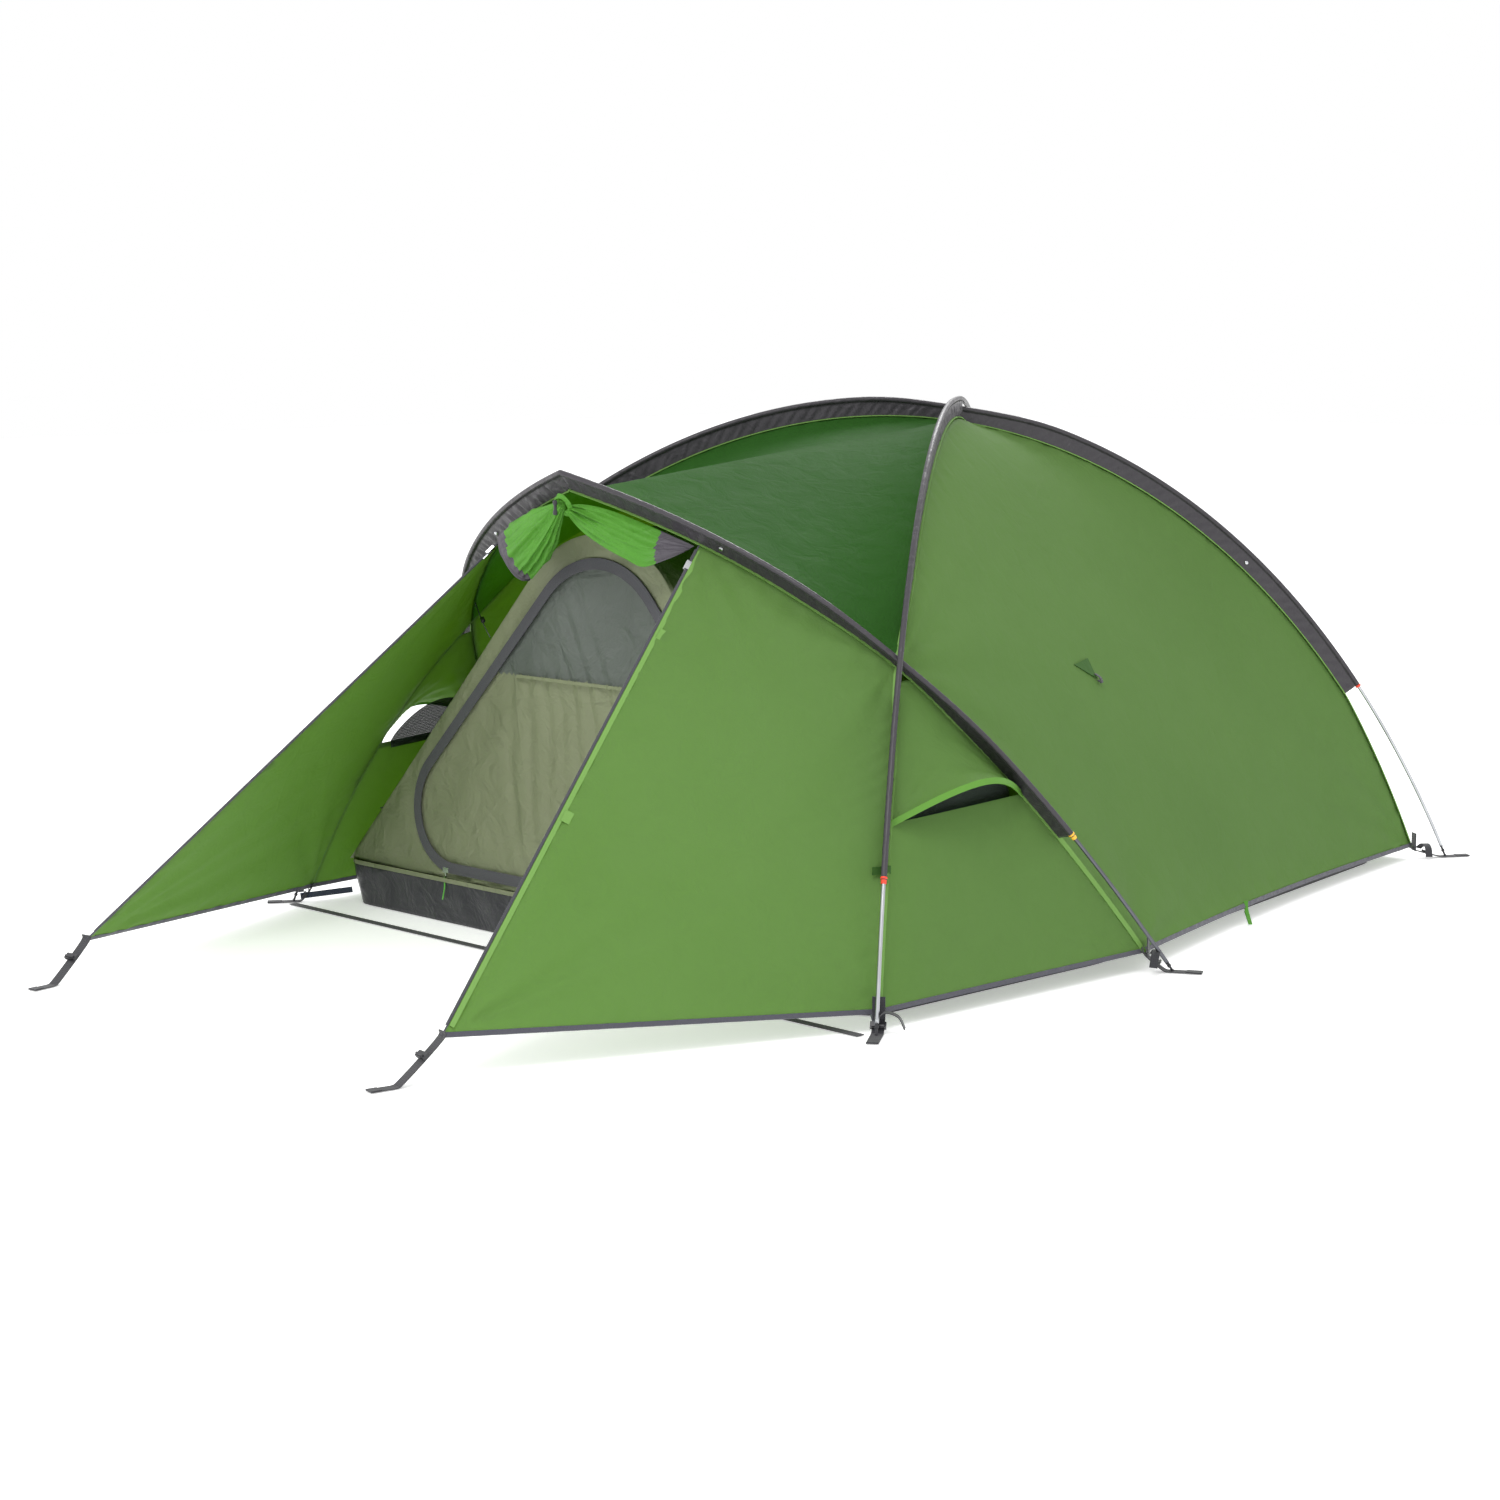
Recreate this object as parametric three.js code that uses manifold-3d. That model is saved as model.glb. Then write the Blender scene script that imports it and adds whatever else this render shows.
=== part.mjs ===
// A three-pole dome tent: two crossing dome poles, a pre-bent porch arch, external pole sleeves,
// a panelled flysheet with an open porch, and an inner tent with a bathtub floor.
// Millimetres, +Z up, the door faces -Y, and the ground is Z = 0 under the middle of the tent.
import * as THREE from "three";
import { mergeVertices } from "three/addons/utils/BufferGeometryUtils.js";
import Module from "manifold-3d";

const wasm = await Module();
wasm.setup();

// ---------- Driving dimensions ----------

// Pole feet on the ground (right-hand side; the left-hand side mirrors it)
const frontFoot = { x: 968, y: -1213 };
const rearFoot = { x: 731, y: 1215 };
const archFoot = { x: 1041, y: -357 };
// Top of the porch arch, where its pole is pre-bent
const brow = { y: -1169, z: 1068 };
// How far each end of a dome pole runs inwards and upwards before it turns over, and its bow
const domeFrontLead = { along: 542, up: 1502, bow: -12 };
const domeRearLead = { along: 749, up: 1696, bow: -21 };
// The same for the arch pole at its foot and at its pre-bent top
const archFootLead = { inwards: -121, up: 707, bow: -5 };
const archBrowLead = { outwards: 704, up: -244, bow: -15 };
const archPlumbY = -357;

// Poles
const poleRadius = 4.25;
const poleBore = poleRadius - 0.75;
const spigotRadius = poleBore - 0.7;
const spigotLength = 40;
const endSectionLength = 450;
const poleSides = 8;
const longestStep = 120;
const tipRun = 60;
const crossingSpread = 260;
const tipBall = poleRadius - 0.65;
const tipNeck = tipBall - 1;
const tipNeckLength = 9;
const tipCollarLength = 5;
const tipStemLength = 24;

// Sleeves
const sleeveBore = poleRadius + 1.35;
const sleeveRadius = sleeveBore + 1.2;
const crossingLift = sleeveRadius + 2.2;
const finThickness = 2;
const finGap = 7;
const standFront = 30;
const standMiddle = 42;
const standRear = 80;
const standArch = 46;
const frontClipHeight = 287;
const rearClipHeight = 459;
const archClipHeight = 316;
const notchHalf = 62;
const notchRun = 26;

// Fly fabric and hems
const fabric = 2;
const seamGap = 5;
const roofRidgeDip = 6;
const frontHem = 35;
const archHem = 40;
const rearHem = 30;
const sideHemDip = 28;
const porchCorner = { x: 611, y: -2008, z: 81 };
const doorTopX = 310;
const hoodTipBack = 45;
const rearTipBack = 50;

// Side vents: the brim of the upper panel stands out over the straight top of the lower panel
const ventHeightFront = 382;
const ventHeightRear = 402;
const brimOut = 75;
const brimUp = 65;
const ventMeshHeight = 70;
const ventMeshSet = 14;
const ventMeshDrop = 10;
const ventMeshMargin = 0.08;
const ventMeshRound = 0.75;

// Porch zips
const zipWidth = 10;
const zipThick = 2;
const zipInset = 12;
const zipEnd = 30;
const zipTopEnd = 22;
const sliderLength = 22;
const sliderWall = 1.6;
const sliderPlay = 0.5;
const sliderDown = 34;
const pullLength = 26;

// Rolled porch door
const rollReach = 222;
const rollLobe = 46;
const rollWaist = 20;
const rollTip = 14;
const rollDrop = 16;
const rollForward = 22;
const rollFlatness = 0.8;
const rollRings = 14;

// Inner tent
const floorFront = { x: 868, y: -1128 };
const floorSide = { x: 900, y: -400 };
const floorRear = { x: 640, y: 1050 };
const tubHeight = 105;
const tubSheet = 2;
const tubWallSheet = 3.2;
const tubSpread = 14;
const innerGap = 3;
const wallFootY = -1120;
const wallLean = Math.atan(0.069);
const doorSill = 20;
const wallFootUp = (tubHeight + innerGap) / Math.cos(wallLean);
const doorCornerRadius = 145;
const doorCorner = {
  x: 468,
  up: wallFootUp + doorSill + doorCornerRadius,
  radius: doorCornerRadius,
};
const doorTop = { up: 633, radius: 239 };
const innerZipGap = 8;
const wallMargin = 60;
const wallArcSteps = 5;
const innerStand = 112;
const ridgeSag = 24;

// Webbing and buckles
const webWidth = 25;
const webThick = 2;
const footTail = 62;
const pegStrapReach = 150;
const pegStrapGround = 108;
const eyeletRadius = tipBall + 2.9;
const pegSlot = { width: 9, length: 26 };
const buckleLength = 14;
const buckleRail = 3;
const bucklePlay = 0.6;
const buckleBar = 2.2;
const baseStrapY = -1232;
const baseStrapEnd = 944;
const baseStrapWidth = 20;

// ---------- Small helpers ----------

const vec = (x, y, z) => new THREE.Vector3(x, y, z);
const mirrored = (p) => vec(-p.x, p.y, p.z);
const blend = (a, b, t) => a.clone().lerp(b, t);
const plus = (a, b, s = 1) => a.clone().addScaledVector(b, s);
const UP = vec(0, 0, 1);
const RIGHT = vec(1, 0, 0);
const INSIDE = vec(0, -300, 150);
const SIDES = [
  ["right", 1],
  ["left", -1],
];

const tent = new THREE.Group();

const finish = {
  dome_pole: [0x8d9094, 0.35, 0.8],
  pole_tip: [0x2a2b2e, 0.5, 0.1],
  sleeve: [0x4a4649, 0.8, 0],
  side_fabric: [0x64904d, 0.75, 0],
  roof_fabric: [0x3a6b2c, 0.75, 0],
  door_fabric: [0x5fa83c, 0.7, 0],
  zip: [0x3a3a3e, 0.7, 0],
  slider: [0xb9bcc0, 0.3, 0.9],
  inner_fabric: [0x8e9270, 0.85, 0],
  groundsheet: [0x2b2c2f, 0.6, 0],
  net: [0x1f2a20, 0.9, 0],
  webbing: [0x26262a, 0.85, 0],
  buckle: [0x1d1d20, 0.45, 0],
};
const materials = Object.fromEntries(
  Object.entries(finish).map(([name, [color, roughness, metalness]]) => [
    name,
    new THREE.MeshStandardMaterial({ color, roughness, metalness }),
  ]),
);

function addPiece(name, geometry, material, parent = tent) {
  const mesh = new THREE.Mesh(geometry, materials[material]);
  mesh.name = name;
  parent.add(mesh);
  return mesh;
}

function signedVolume(points, faces) {
  return faces.reduce(
    (sum, [a, b, c]) => sum + points[a].dot(points[b].clone().cross(points[c])) / 6,
    0,
  );
}

// A closed surface from points and triangles, turned so that it faces outwards.
function closedGeometry(points, faces) {
  const outward = signedVolume(points, faces) > 0;
  const index = faces.flatMap(([a, b, c]) => (outward ? [a, b, c] : [a, c, b]));
  const geometry = new THREE.BufferGeometry().setFromPoints(points);
  geometry.setIndex(index);
  return geometry;
}

function asSolid(geometry) {
  const bare = geometry.clone();
  bare.deleteAttribute("normal");
  bare.deleteAttribute("uv");
  const merged = mergeVertices(bare, 1e-3);
  return new wasm.Manifold(
    new wasm.Mesh({
      numProp: 3,
      vertProperties: merged.attributes.position.array,
      triVerts: new Uint32Array(merged.index.array),
    }),
  );
}

function fromSolid(solid) {
  const mesh = solid.getMesh();
  const geometry = new THREE.BufferGeometry();
  geometry.setAttribute("position", new THREE.BufferAttribute(mesh.vertProperties, 3));
  geometry.setIndex(new THREE.BufferAttribute(mesh.triVerts, 1));
  return geometry;
}

// Puts a shape drawn in x, y and extruded along z into a frame given by its three axes and origin.
function inFrame(geometry, xAxis, yAxis, zAxis, origin) {
  const matrix = new THREE.Matrix4().makeBasis(xAxis, yAxis, zAxis);
  return geometry.applyMatrix4(matrix.setPosition(origin));
}

// ---------- Rods: poles and the seams under them ----------

function cosineBump(distance, spread) {
  return Math.abs(distance) < spread ? Math.cos((Math.PI / 2) * (distance / spread)) ** 2 : 0;
}

// A pole's line: where it runs, which way is out from the arch, and the seam that its sleeve meets.
class PoleLine {
  constructor(curve, planeNormal, stand) {
    this.curve = curve;
    this.planeNormal = planeNormal;
    this.stand = stand;
    this.length = curve.getLength();
    this.lifts = [];
    this.seamShifts = [];
    this.notches = [];
  }
  tangent(t) {
    return this.curve.getTangent(t);
  }
  outward(t) {
    const out = this.planeNormal.clone().cross(this.tangent(t)).normalize();
    return out;
  }
  base(t) {
    return this.curve.getPoint(t);
  }
  point(t) {
    const rise = this.lifts.reduce(
      (sum, lift) => sum + lift.height * cosineBump(this.run(lift.at, t), crossingSpread),
      0,
    );
    return plus(this.base(t), this.outward(t), rise);
  }
  run(t0, t1) {
    return this.base(t0).distanceTo(this.base(t1)) * Math.sign(t1 - t0);
  }
  seam(t) {
    const p = plus(this.base(t), this.outward(t), -this.stand(t));
    for (const shift of this.seamShifts) {
      p.addScaledVector(shift.by, cosineBump(this.run(shift.at, t), crossingSpread));
    }
    return p;
  }
  // 1 where the fin reaches its seam, 0 where it is notched for a pole that passes beneath
  fin(t) {
    return this.notches.reduce((share, at) => {
      const clear = (Math.abs(this.run(at, t)) - notchHalf) / notchRun;
      return Math.min(share, THREE.MathUtils.clamp(clear, 0, 1));
    }, 1);
  }
  // The place between t0 and t1 where a rising or falling measure reaches a value
  find(measure, value, t0, t1) {
    const rising = measure(t1) > measure(t0);
    let [low, high] = [t0, t1];
    for (let step = 0; step < 50; step += 1) {
      const middle = (low + high) / 2;
      if (measure(middle) < value === rising) low = middle;
      else high = middle;
    }
    return (low + high) / 2;
  }
  after(t, distance) {
    return t + distance / this.length;
  }
  // Every required place, with steps between them no longer than longestStep
  stations(required) {
    const sorted = [...required].sort((a, b) => a - b);
    const list = [sorted[0]];
    for (const next of sorted.slice(1)) {
      const from = list[list.length - 1];
      const span = (next - from) * this.length;
      if (span < 4) continue;
      const pieces = Math.ceil(span / longestStep);
      for (let i = 1; i <= pieces; i += 1) list.push(from + ((next - from) * i) / pieces);
    }
    return list;
  }
}

function domeCurve(side) {
  const front = vec(frontFoot.x * side, frontFoot.y, 0);
  const rear = vec(-rearFoot.x * side, rearFoot.y, 0);
  const along = rear.clone().sub(front).normalize();
  const sideways = vec(along.y * side, -along.x * side, 0);
  const lead1 = plus(plus(plus(front, along, domeFrontLead.along), UP, domeFrontLead.up),
    sideways, domeFrontLead.bow);
  const lead2 = plus(plus(plus(rear, along, -domeRearLead.along), UP, domeRearLead.up),
    sideways, domeRearLead.bow);
  return new THREE.CubicBezierCurve3(front, lead1, lead2, rear);
}

// The arch runs from its right foot over the pre-bent brow to its left foot, in a leaning plane.
class ArchCurve extends THREE.Curve {
  constructor() {
    super();
    const foot = vec(archFoot.x, archFoot.y, 0);
    const top = vec(0, brow.y, brow.z);
    this.up = top.clone().sub(vec(0, archPlumbY, 0)).normalize();
    this.normal = RIGHT.clone().cross(this.up);
    const lead1 = plus(plus(plus(foot, RIGHT, archFootLead.inwards), this.up, archFootLead.up),
      this.normal, archFootLead.bow);
    const lead2 = plus(plus(plus(top, RIGHT, archBrowLead.outwards), this.up, archBrowLead.up),
      this.normal, archBrowLead.bow);
    this.half = new THREE.CubicBezierCurve3(foot, lead1, lead2, top);
  }
  getPoint(t) {
    return t <= 0.5 ? this.half.getPoint(2 * t) : mirrored(this.half.getPoint(2 - 2 * t));
  }
  getTangent(t) {
    if (Math.abs(t - 0.5) < 1e-6) return vec(-1, 0, 0);
    if (t < 0.5) return this.half.getTangent(2 * t);
    return mirrored(this.half.getTangent(2 - 2 * t)).negate();
  }
}

function domeStand(t) {
  const frontShare = 0.2;
  const rearShare = 0.1;
  if (t < frontShare) return THREE.MathUtils.lerp(standFront, standMiddle, t / frontShare);
  const back = (t - 1 + rearShare) / rearShare;
  return THREE.MathUtils.lerp(standMiddle, standRear, Math.max(0, back));
}

function domeLine(side) {
  const curve = domeCurve(side);
  const across = curve.v3.clone().sub(curve.v0).setZ(0).normalize();
  return new PoleLine(curve, vec(across.y, -across.x, 0).negate(), domeStand);
}

const archCurve = new ArchCurve();
const arch = new PoleLine(archCurve, archCurve.normal.clone(), () => standArch);
const domes = { right: domeLine(1), left: domeLine(-1) };
for (const line of [arch, domes.right, domes.left]) {
  if (line.outward(0.5).z < 0) line.planeNormal.negate();
}

// Where the dome poles cross each other, and where each crosses the arch
const domeTop = domes.right.find((t) => -domes.right.base(t).x, 0, 0.2, 0.9);

function nearestPass(a, b, aRange, bRange) {
  let best = { gap: Infinity };
  const steps = 240;
  for (let i = 0; i <= steps; i += 1) {
    for (let j = 0; j <= steps; j += 1) {
      const ta = THREE.MathUtils.lerp(aRange[0], aRange[1], i / steps);
      const tb = THREE.MathUtils.lerp(bRange[0], bRange[1], j / steps);
      const gap = a.base(ta).distanceTo(b.base(tb));
      if (gap < best.gap) best = { gap, ta, tb };
    }
  }
  return best;
}
const shoulder = nearestPass(domes.right, arch, [0.1, 0.3], [0.15, 0.38]);
const domeShoulder = shoulder.ta;
const archShoulder = shoulder.tb;

domes.right.lifts.push({ at: domeTop, height: crossingLift });
domes.left.lifts.push({ at: domeTop, height: -crossingLift });
// The arch passes under each dome pole, however far apart their unsprung lines are
const shoulderGap = domes.right.base(domeShoulder).sub(arch.base(archShoulder));
const shoulderLift = shoulderGap.dot(arch.outward(archShoulder)) - 2 * crossingLift;
arch.lifts.push({ at: archShoulder, height: shoulderLift });
arch.lifts.push({ at: 1 - archShoulder, height: shoulderLift });
domes.right.notches.push(domeTop, domeShoulder);
domes.left.notches.push(domeShoulder);

// The three seams at a shoulder meet in one point
const shoulderSeam = blend(domes.right.seam(domeShoulder), arch.seam(archShoulder), 0.5);
const domeShift = shoulderSeam.clone().sub(domes.right.seam(domeShoulder));
const archShift = shoulderSeam.clone().sub(arch.seam(archShoulder));
domes.right.seamShifts.push({ at: domeShoulder, by: domeShift });
domes.left.seamShifts.push({ at: domeShoulder, by: mirrored(domeShift) });
arch.seamShifts.push({ at: archShoulder, by: archShift });
arch.seamShifts.push({ at: 1 - archShoulder, by: mirrored(archShift) });

const heightOf = (line) => (t) => line.base(t).z;
const seamHeight = (line) => (t) => line.seam(t).z;
const domeClipFront = domes.right.find(heightOf(domes.right), frontClipHeight, 0, 0.3);
const domeClipRear = domes.right.find(heightOf(domes.right), rearClipHeight, 0.7, 1);
const archClip = arch.find(heightOf(arch), archClipHeight, 0, 0.3);
const seamTop = domes.right.find((t) => -domes.right.seam(t).x, 0, 0.2, 0.9);
const domeHemFront = domes.right.find(seamHeight(domes.right), frontHem, 0, 0.2);
const domeHemRear = domes.right.find(seamHeight(domes.right), rearHem, 0.8, 1);
const archHemAt = arch.find(seamHeight(arch), archHem, 0, 0.2);

// ---------- Lofts along a pole ----------

function ringFrame(line, t) {
  const centre = line.point(t);
  const tangent = line.tangent(t);
  const toSeam = line.seam(t).sub(centre);
  toSeam.addScaledVector(tangent, -toSeam.dot(tangent));
  const depth = toSeam.length();
  const outward = toSeam.normalize().negate();
  const lateral = tangent.clone().cross(outward);
  return { centre, lateral, outward, depth };
}

function circleSection(radius, sides) {
  return Array.from({ length: sides }, (_, i) => {
    const angle = (2 * Math.PI * i) / sides;
    return [radius * Math.cos(angle), radius * Math.sin(angle)];
  });
}

// Sections that follow each other along a line, closed by flat ends. Each ring has an outer loop
// and may have a bore, and loops keep their number of points.
function loftAlong(rings) {
  const points = [];
  const faces = [];
  const place = (frame, [a, b]) => {
    points.push(plus(plus(frame.centre, frame.lateral, a), frame.outward, b));
    return points.length - 1;
  };
  const loops = rings.map(({ frame, outer, bore }) => ({
    outer: outer.map((p) => place(frame, p)),
    bore: (bore || []).map((p) => place(frame, p)),
  }));
  const wall = (from, to, flip) => {
    from.forEach((_, i) => {
      const j = (i + 1) % from.length;
      const quad = [from[i], from[j], to[j], to[i]];
      if (flip) quad.reverse();
      faces.push([quad[0], quad[1], quad[2]], [quad[0], quad[2], quad[3]]);
    });
  };
  for (let i = 1; i < loops.length; i += 1) {
    wall(loops[i - 1].outer, loops[i].outer, false);
    if (loops[i].bore.length) wall(loops[i - 1].bore, loops[i].bore, true);
  }
  const cap = (ring, loop, flip) => {
    const contour = ring.outer.map(([a, b]) => new THREE.Vector2(a, b));
    const hole = (ring.bore || []).map(([a, b]) => new THREE.Vector2(a, b));
    const order = [...loop.outer, ...loop.bore];
    for (const [a, b, c] of THREE.ShapeUtils.triangulateShape(contour, hole.length ? [hole] : [])) {
      faces.push(flip ? [order[a], order[b], order[c]] : [order[a], order[c], order[b]]);
    }
  };
  cap(rings[0], loops[0], false);
  cap(rings[rings.length - 1], loops[loops.length - 1], true);
  return closedGeometry(points, faces);
}

// ---------- Poles ----------

function tubeRings(line, list, radius, bore) {
  return list.map((t) => ({
    frame: ringFrame(line, t),
    outer: circleSection(radius, poleSides),
    bore: bore ? circleSection(bore, poleSides) : undefined,
  }));
}

// A ring a short way from one station towards the next, on the straight run between them
function ringBetween(line, t0, t1, distance, radius) {
  const from = ringFrame(line, t0);
  const to = ringFrame(line, t1);
  const share = distance / from.centre.distanceTo(to.centre);
  return {
    frame: {
      centre: blend(from.centre, to.centre, share),
      lateral: blend(from.lateral, to.lateral, share).normalize(),
      outward: blend(from.outward, to.outward, share).normalize(),
    },
    outer: circleSection(radius, poleSides),
  };
}

function middleSection(line, list) {
  const last = list.length - 1;
  const body = tubeRings(line, list.slice(1, last), poleRadius);
  const step = 0.4;
  const [t0, t1, t2, t3] = [list[0], list[1], list[last - 1], list[last]];
  const spigotStart = ringBetween(line, t1, t0, spigotLength, spigotRadius);
  const shoulderStart = ringBetween(line, t1, t0, step, spigotRadius);
  const spigotEnd = ringBetween(line, t2, t3, spigotLength, spigotRadius);
  const shoulderEnd = ringBetween(line, t2, t3, step, spigotRadius);
  return loftAlong([spigotStart, shoulderStart, ...body, shoulderEnd, spigotEnd]);
}

function endSection(line, list) {
  return loftAlong(tubeRings(line, list, poleRadius, poleBore));
}

// A moulded tip: a stem in the tube, a collar, a neck and a ball that stands on the ground.
function poleTip(line, atStart) {
  const t = atStart ? 0 : 1;
  const further = atStart ? tipRun / line.length : 1 - tipRun / line.length;
  const axis = line.point(further).sub(line.point(t)).normalize();
  const centre = plus(line.point(t), axis, tipBall / axis.z);
  const ballArc = 5;
  const neckAngle = Math.asin(tipNeck / tipBall);
  const profile = [];
  for (let i = 0; i <= ballArc; i += 1) {
    const a = ((Math.PI - neckAngle) * i) / ballArc;
    profile.push([tipBall * Math.sin(a), -tipBall * Math.cos(a)]);
  }
  const neckTop = tipBall + tipNeckLength;
  const collarTop = neckTop + tipCollarLength;
  profile.push([tipNeck, neckTop], [poleRadius, neckTop], [poleRadius, collarTop]);
  profile.push([spigotRadius, collarTop], [spigotRadius, collarTop + tipStemLength]);
  profile.push([0, collarTop + tipStemLength]);
  profile[0][0] = 0;
  const geometry = new THREE.LatheGeometry(
    profile.map(([r, h]) => new THREE.Vector2(r, h)),
    poleSides,
  );
  geometry.rotateX(Math.PI / 2);
  const turn = new THREE.Quaternion().setFromUnitVectors(UP, axis);
  geometry.applyQuaternion(turn);
  geometry.translate(centre.x, centre.y, centre.z);
  return { geometry, tubeStart: (tipBall / axis.z + collarTop + 0.4) / line.length };
}

function addPole(name, line, required) {
  const first = poleTip(line, true);
  const second = poleTip(line, false);
  const joint = endSectionLength / line.length;
  const run = tipRun / line.length;
  const list = line.stations([first.tubeStart, run, joint, ...required, 1 - joint, 1 - run,
    1 - second.tubeStart]);
  const near = (value) => list.reduce((best, t, i) => {
    return Math.abs(t - value) < Math.abs(list[best] - value) ? i : best;
  }, 0);
  const breakA = near(joint);
  const breakB = near(1 - joint);
  const butt = 0.4 / line.length;
  addPiece(`${name}_first_end`, endSection(line, [...list.slice(0, breakA), list[breakA] - butt]),
    "dome_pole");
  addPiece(`${name}_middle`, middleSection(line, list.slice(breakA - 1, breakB + 2)), "dome_pole");
  addPiece(`${name}_second_end`,
    endSection(line, [list[breakB] + butt, ...list.slice(breakB + 1)]), "dome_pole");
  addPiece(`${name}_first_tip`, first.geometry, "pole_tip");
  addPiece(`${name}_second_tip`, second.geometry, "pole_tip");
  return list;
}

// ---------- Sleeves ----------

function sleeveSection(depth) {
  const half = finThickness / 2;
  const meet = Math.asin(half / sleeveRadius);
  const turns = [meet, 1.1, 2.1, Math.PI, 2 * Math.PI - 2.1, 2 * Math.PI - 1.1, 2 * Math.PI - meet];
  const ring = turns.map((a) => [sleeveRadius * Math.sin(a), -sleeveRadius * Math.cos(a)]);
  return [[half, -depth], ...ring, [-half, -depth]];
}

function addSleeve(name, line, list, from, to) {
  const inside = list.filter((t) => t > from - 1e-6 && t < to + 1e-6);
  const rings = inside.map((t) => {
    const frame = ringFrame(line, t);
    const least = sleeveRadius + 0.6;
    const full = Math.max(least, frame.depth - finGap);
    return {
      frame,
      outer: sleeveSection(THREE.MathUtils.lerp(least, full, line.fin(t))),
      bore: circleSection(sleeveBore, 6).map(([a, b]) => [b, -a]),
    };
  });
  addPiece(name, loftAlong(rings), "sleeve");
}

function notchStations(line, at) {
  return [-notchHalf - notchRun, -notchHalf, notchHalf, notchHalf + notchRun].map((d) =>
    line.after(at, d),
  );
}

const domePlaces = [domeClipFront, domeTop, domeClipRear, ...notchStations(domes.right, domeShoulder)];
const rightList = addPole("dome_pole_a", domes.right,
  [...domePlaces, ...notchStations(domes.right, domeTop)]);
const leftList = addPole("dome_pole_b", domes.left, domePlaces);
const archPlaces = [archClip, archShoulder, 0.5, 1 - archShoulder, 1 - archClip];
const archList = addPole("porch_pole", arch, archPlaces);
addSleeve("sleeve_a", domes.right, rightList, domeClipFront, domeClipRear);
addSleeve("sleeve_b", domes.left, leftList, domeClipFront, domeClipRear);
addSleeve("porch_sleeve", arch, archList, archClip, 1 - archClip);

// ---------- Stretched fabric ----------

// A patch between four edges. Its edge points keep a gap to the seams, and its middle settles
// as taut fabric does: every point that isn't pinned moves to the middle of its neighbours.
function stretchedGrid(edges, cols, rows, gap, pinned = () => null) {
  const { bottom, top, left, right } = edges;
  const corner = [bottom(0), bottom(1), top(0), top(1)];
  const coons = (u, v) => {
    const p = blend(bottom(u), top(u), v).add(blend(left(v), right(v), u));
    const c = blend(blend(corner[0], corner[1], u), blend(corner[2], corner[3], u), v);
    return p.sub(c);
  };
  const trim = (at, length, low, high) =>
    THREE.MathUtils.lerp(low / length, 1 - high / length, at);
  const grid = [];
  for (let i = 0; i <= cols; i += 1) {
    grid.push([]);
    for (let j = 0; j <= rows; j += 1) {
      const u0 = i / cols;
      const v = trim(j / rows, bottom(u0).distanceTo(top(u0)), gap.bottom, gap.top);
      const u = trim(u0, left(v).distanceTo(right(v)), gap.left, gap.right);
      grid[i].push(coons(u, v));
    }
  }
  const held = grid.map((line, i) => line.map((p, j) => pinned(i, j)));
  held.forEach((line, i) => line.forEach((p, j) => p && grid[i][j].copy(p)));
  const rounds = 160;
  for (let round = 0; round < rounds; round += 1) {
    for (let i = 1; i < cols; i += 1) {
      for (let j = 1; j < rows; j += 1) {
        if (held[i][j]) continue;
        grid[i][j] = vec(0, 0, 0)
          .add(grid[i - 1][j])
          .add(grid[i + 1][j])
          .add(grid[i][j - 1])
          .add(grid[i][j + 1])
          .multiplyScalar(0.25);
      }
    }
  }
  return grid;
}

const evenGap = (size) => ({ bottom: size, top: size, left: size, right: size });

function gridNormals(grid) {
  const cols = grid.length - 1;
  const rows = grid[0].length - 1;
  const normals = grid.map((line, i) =>
    line.map((_, j) => {
      const du = grid[Math.min(i + 1, cols)][j].clone().sub(grid[Math.max(i - 1, 0)][j]);
      const dv = grid[i][Math.min(j + 1, rows)].clone().sub(grid[i][Math.max(j - 1, 0)]);
      return du.cross(dv).normalize();
    }),
  );
  const middle = grid[Math.floor(cols / 2)][Math.floor(rows / 2)];
  const facing = normals[Math.floor(cols / 2)][Math.floor(rows / 2)];
  const turn = facing.dot(middle.clone().sub(INSIDE)) < 0 ? -1 : 1;
  return normals.map((line) => line.map((n) => n.multiplyScalar(turn)));
}

// Thickens a grid towards the inside of the tent into one closed sheet.
function sheetGeometry(grid, thickness) {
  const normals = gridNormals(grid);
  const cols = grid.length;
  const rows = grid[0].length;
  const points = [...grid.flat()];
  grid.forEach((line, i) => line.forEach((p, j) => points.push(plus(p, normals[i][j], -thickness))));
  const at = (i, j, layer) => layer * cols * rows + i * rows + j;
  const faces = [];
  const quad = (a, b, c, d) => faces.push([a, b, c], [a, c, d]);
  for (let i = 0; i < cols - 1; i += 1) {
    for (let j = 0; j < rows - 1; j += 1) {
      quad(at(i + 1, j, 0), at(i + 1, j + 1, 0), at(i, j + 1, 0), at(i, j, 0));
      quad(at(i, j + 1, 1), at(i + 1, j + 1, 1), at(i + 1, j, 1), at(i, j, 1));
    }
  }
  for (let i = 0; i < cols - 1; i += 1) {
    quad(at(i, 0, 0), at(i, 0, 1), at(i + 1, 0, 1), at(i + 1, 0, 0));
    quad(at(i, rows - 1, 0), at(i + 1, rows - 1, 0), at(i + 1, rows - 1, 1), at(i, rows - 1, 1));
  }
  for (let j = 0; j < rows - 1; j += 1) {
    quad(at(0, j, 0), at(0, j + 1, 0), at(0, j + 1, 1), at(0, j, 1));
    quad(at(cols - 1, j, 0), at(cols - 1, j, 1), at(cols - 1, j + 1, 1), at(cols - 1, j + 1, 0));
  }
  return closedGeometry(points, faces);
}

const mirrorEdge = (edge, side) => (s) => (side > 0 ? edge(s) : mirrored(edge(s)));
const mirrorEdges = (edges, side) =>
  Object.fromEntries(Object.entries(edges).map(([key, edge]) => [key, mirrorEdge(edge, side)]));

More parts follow.
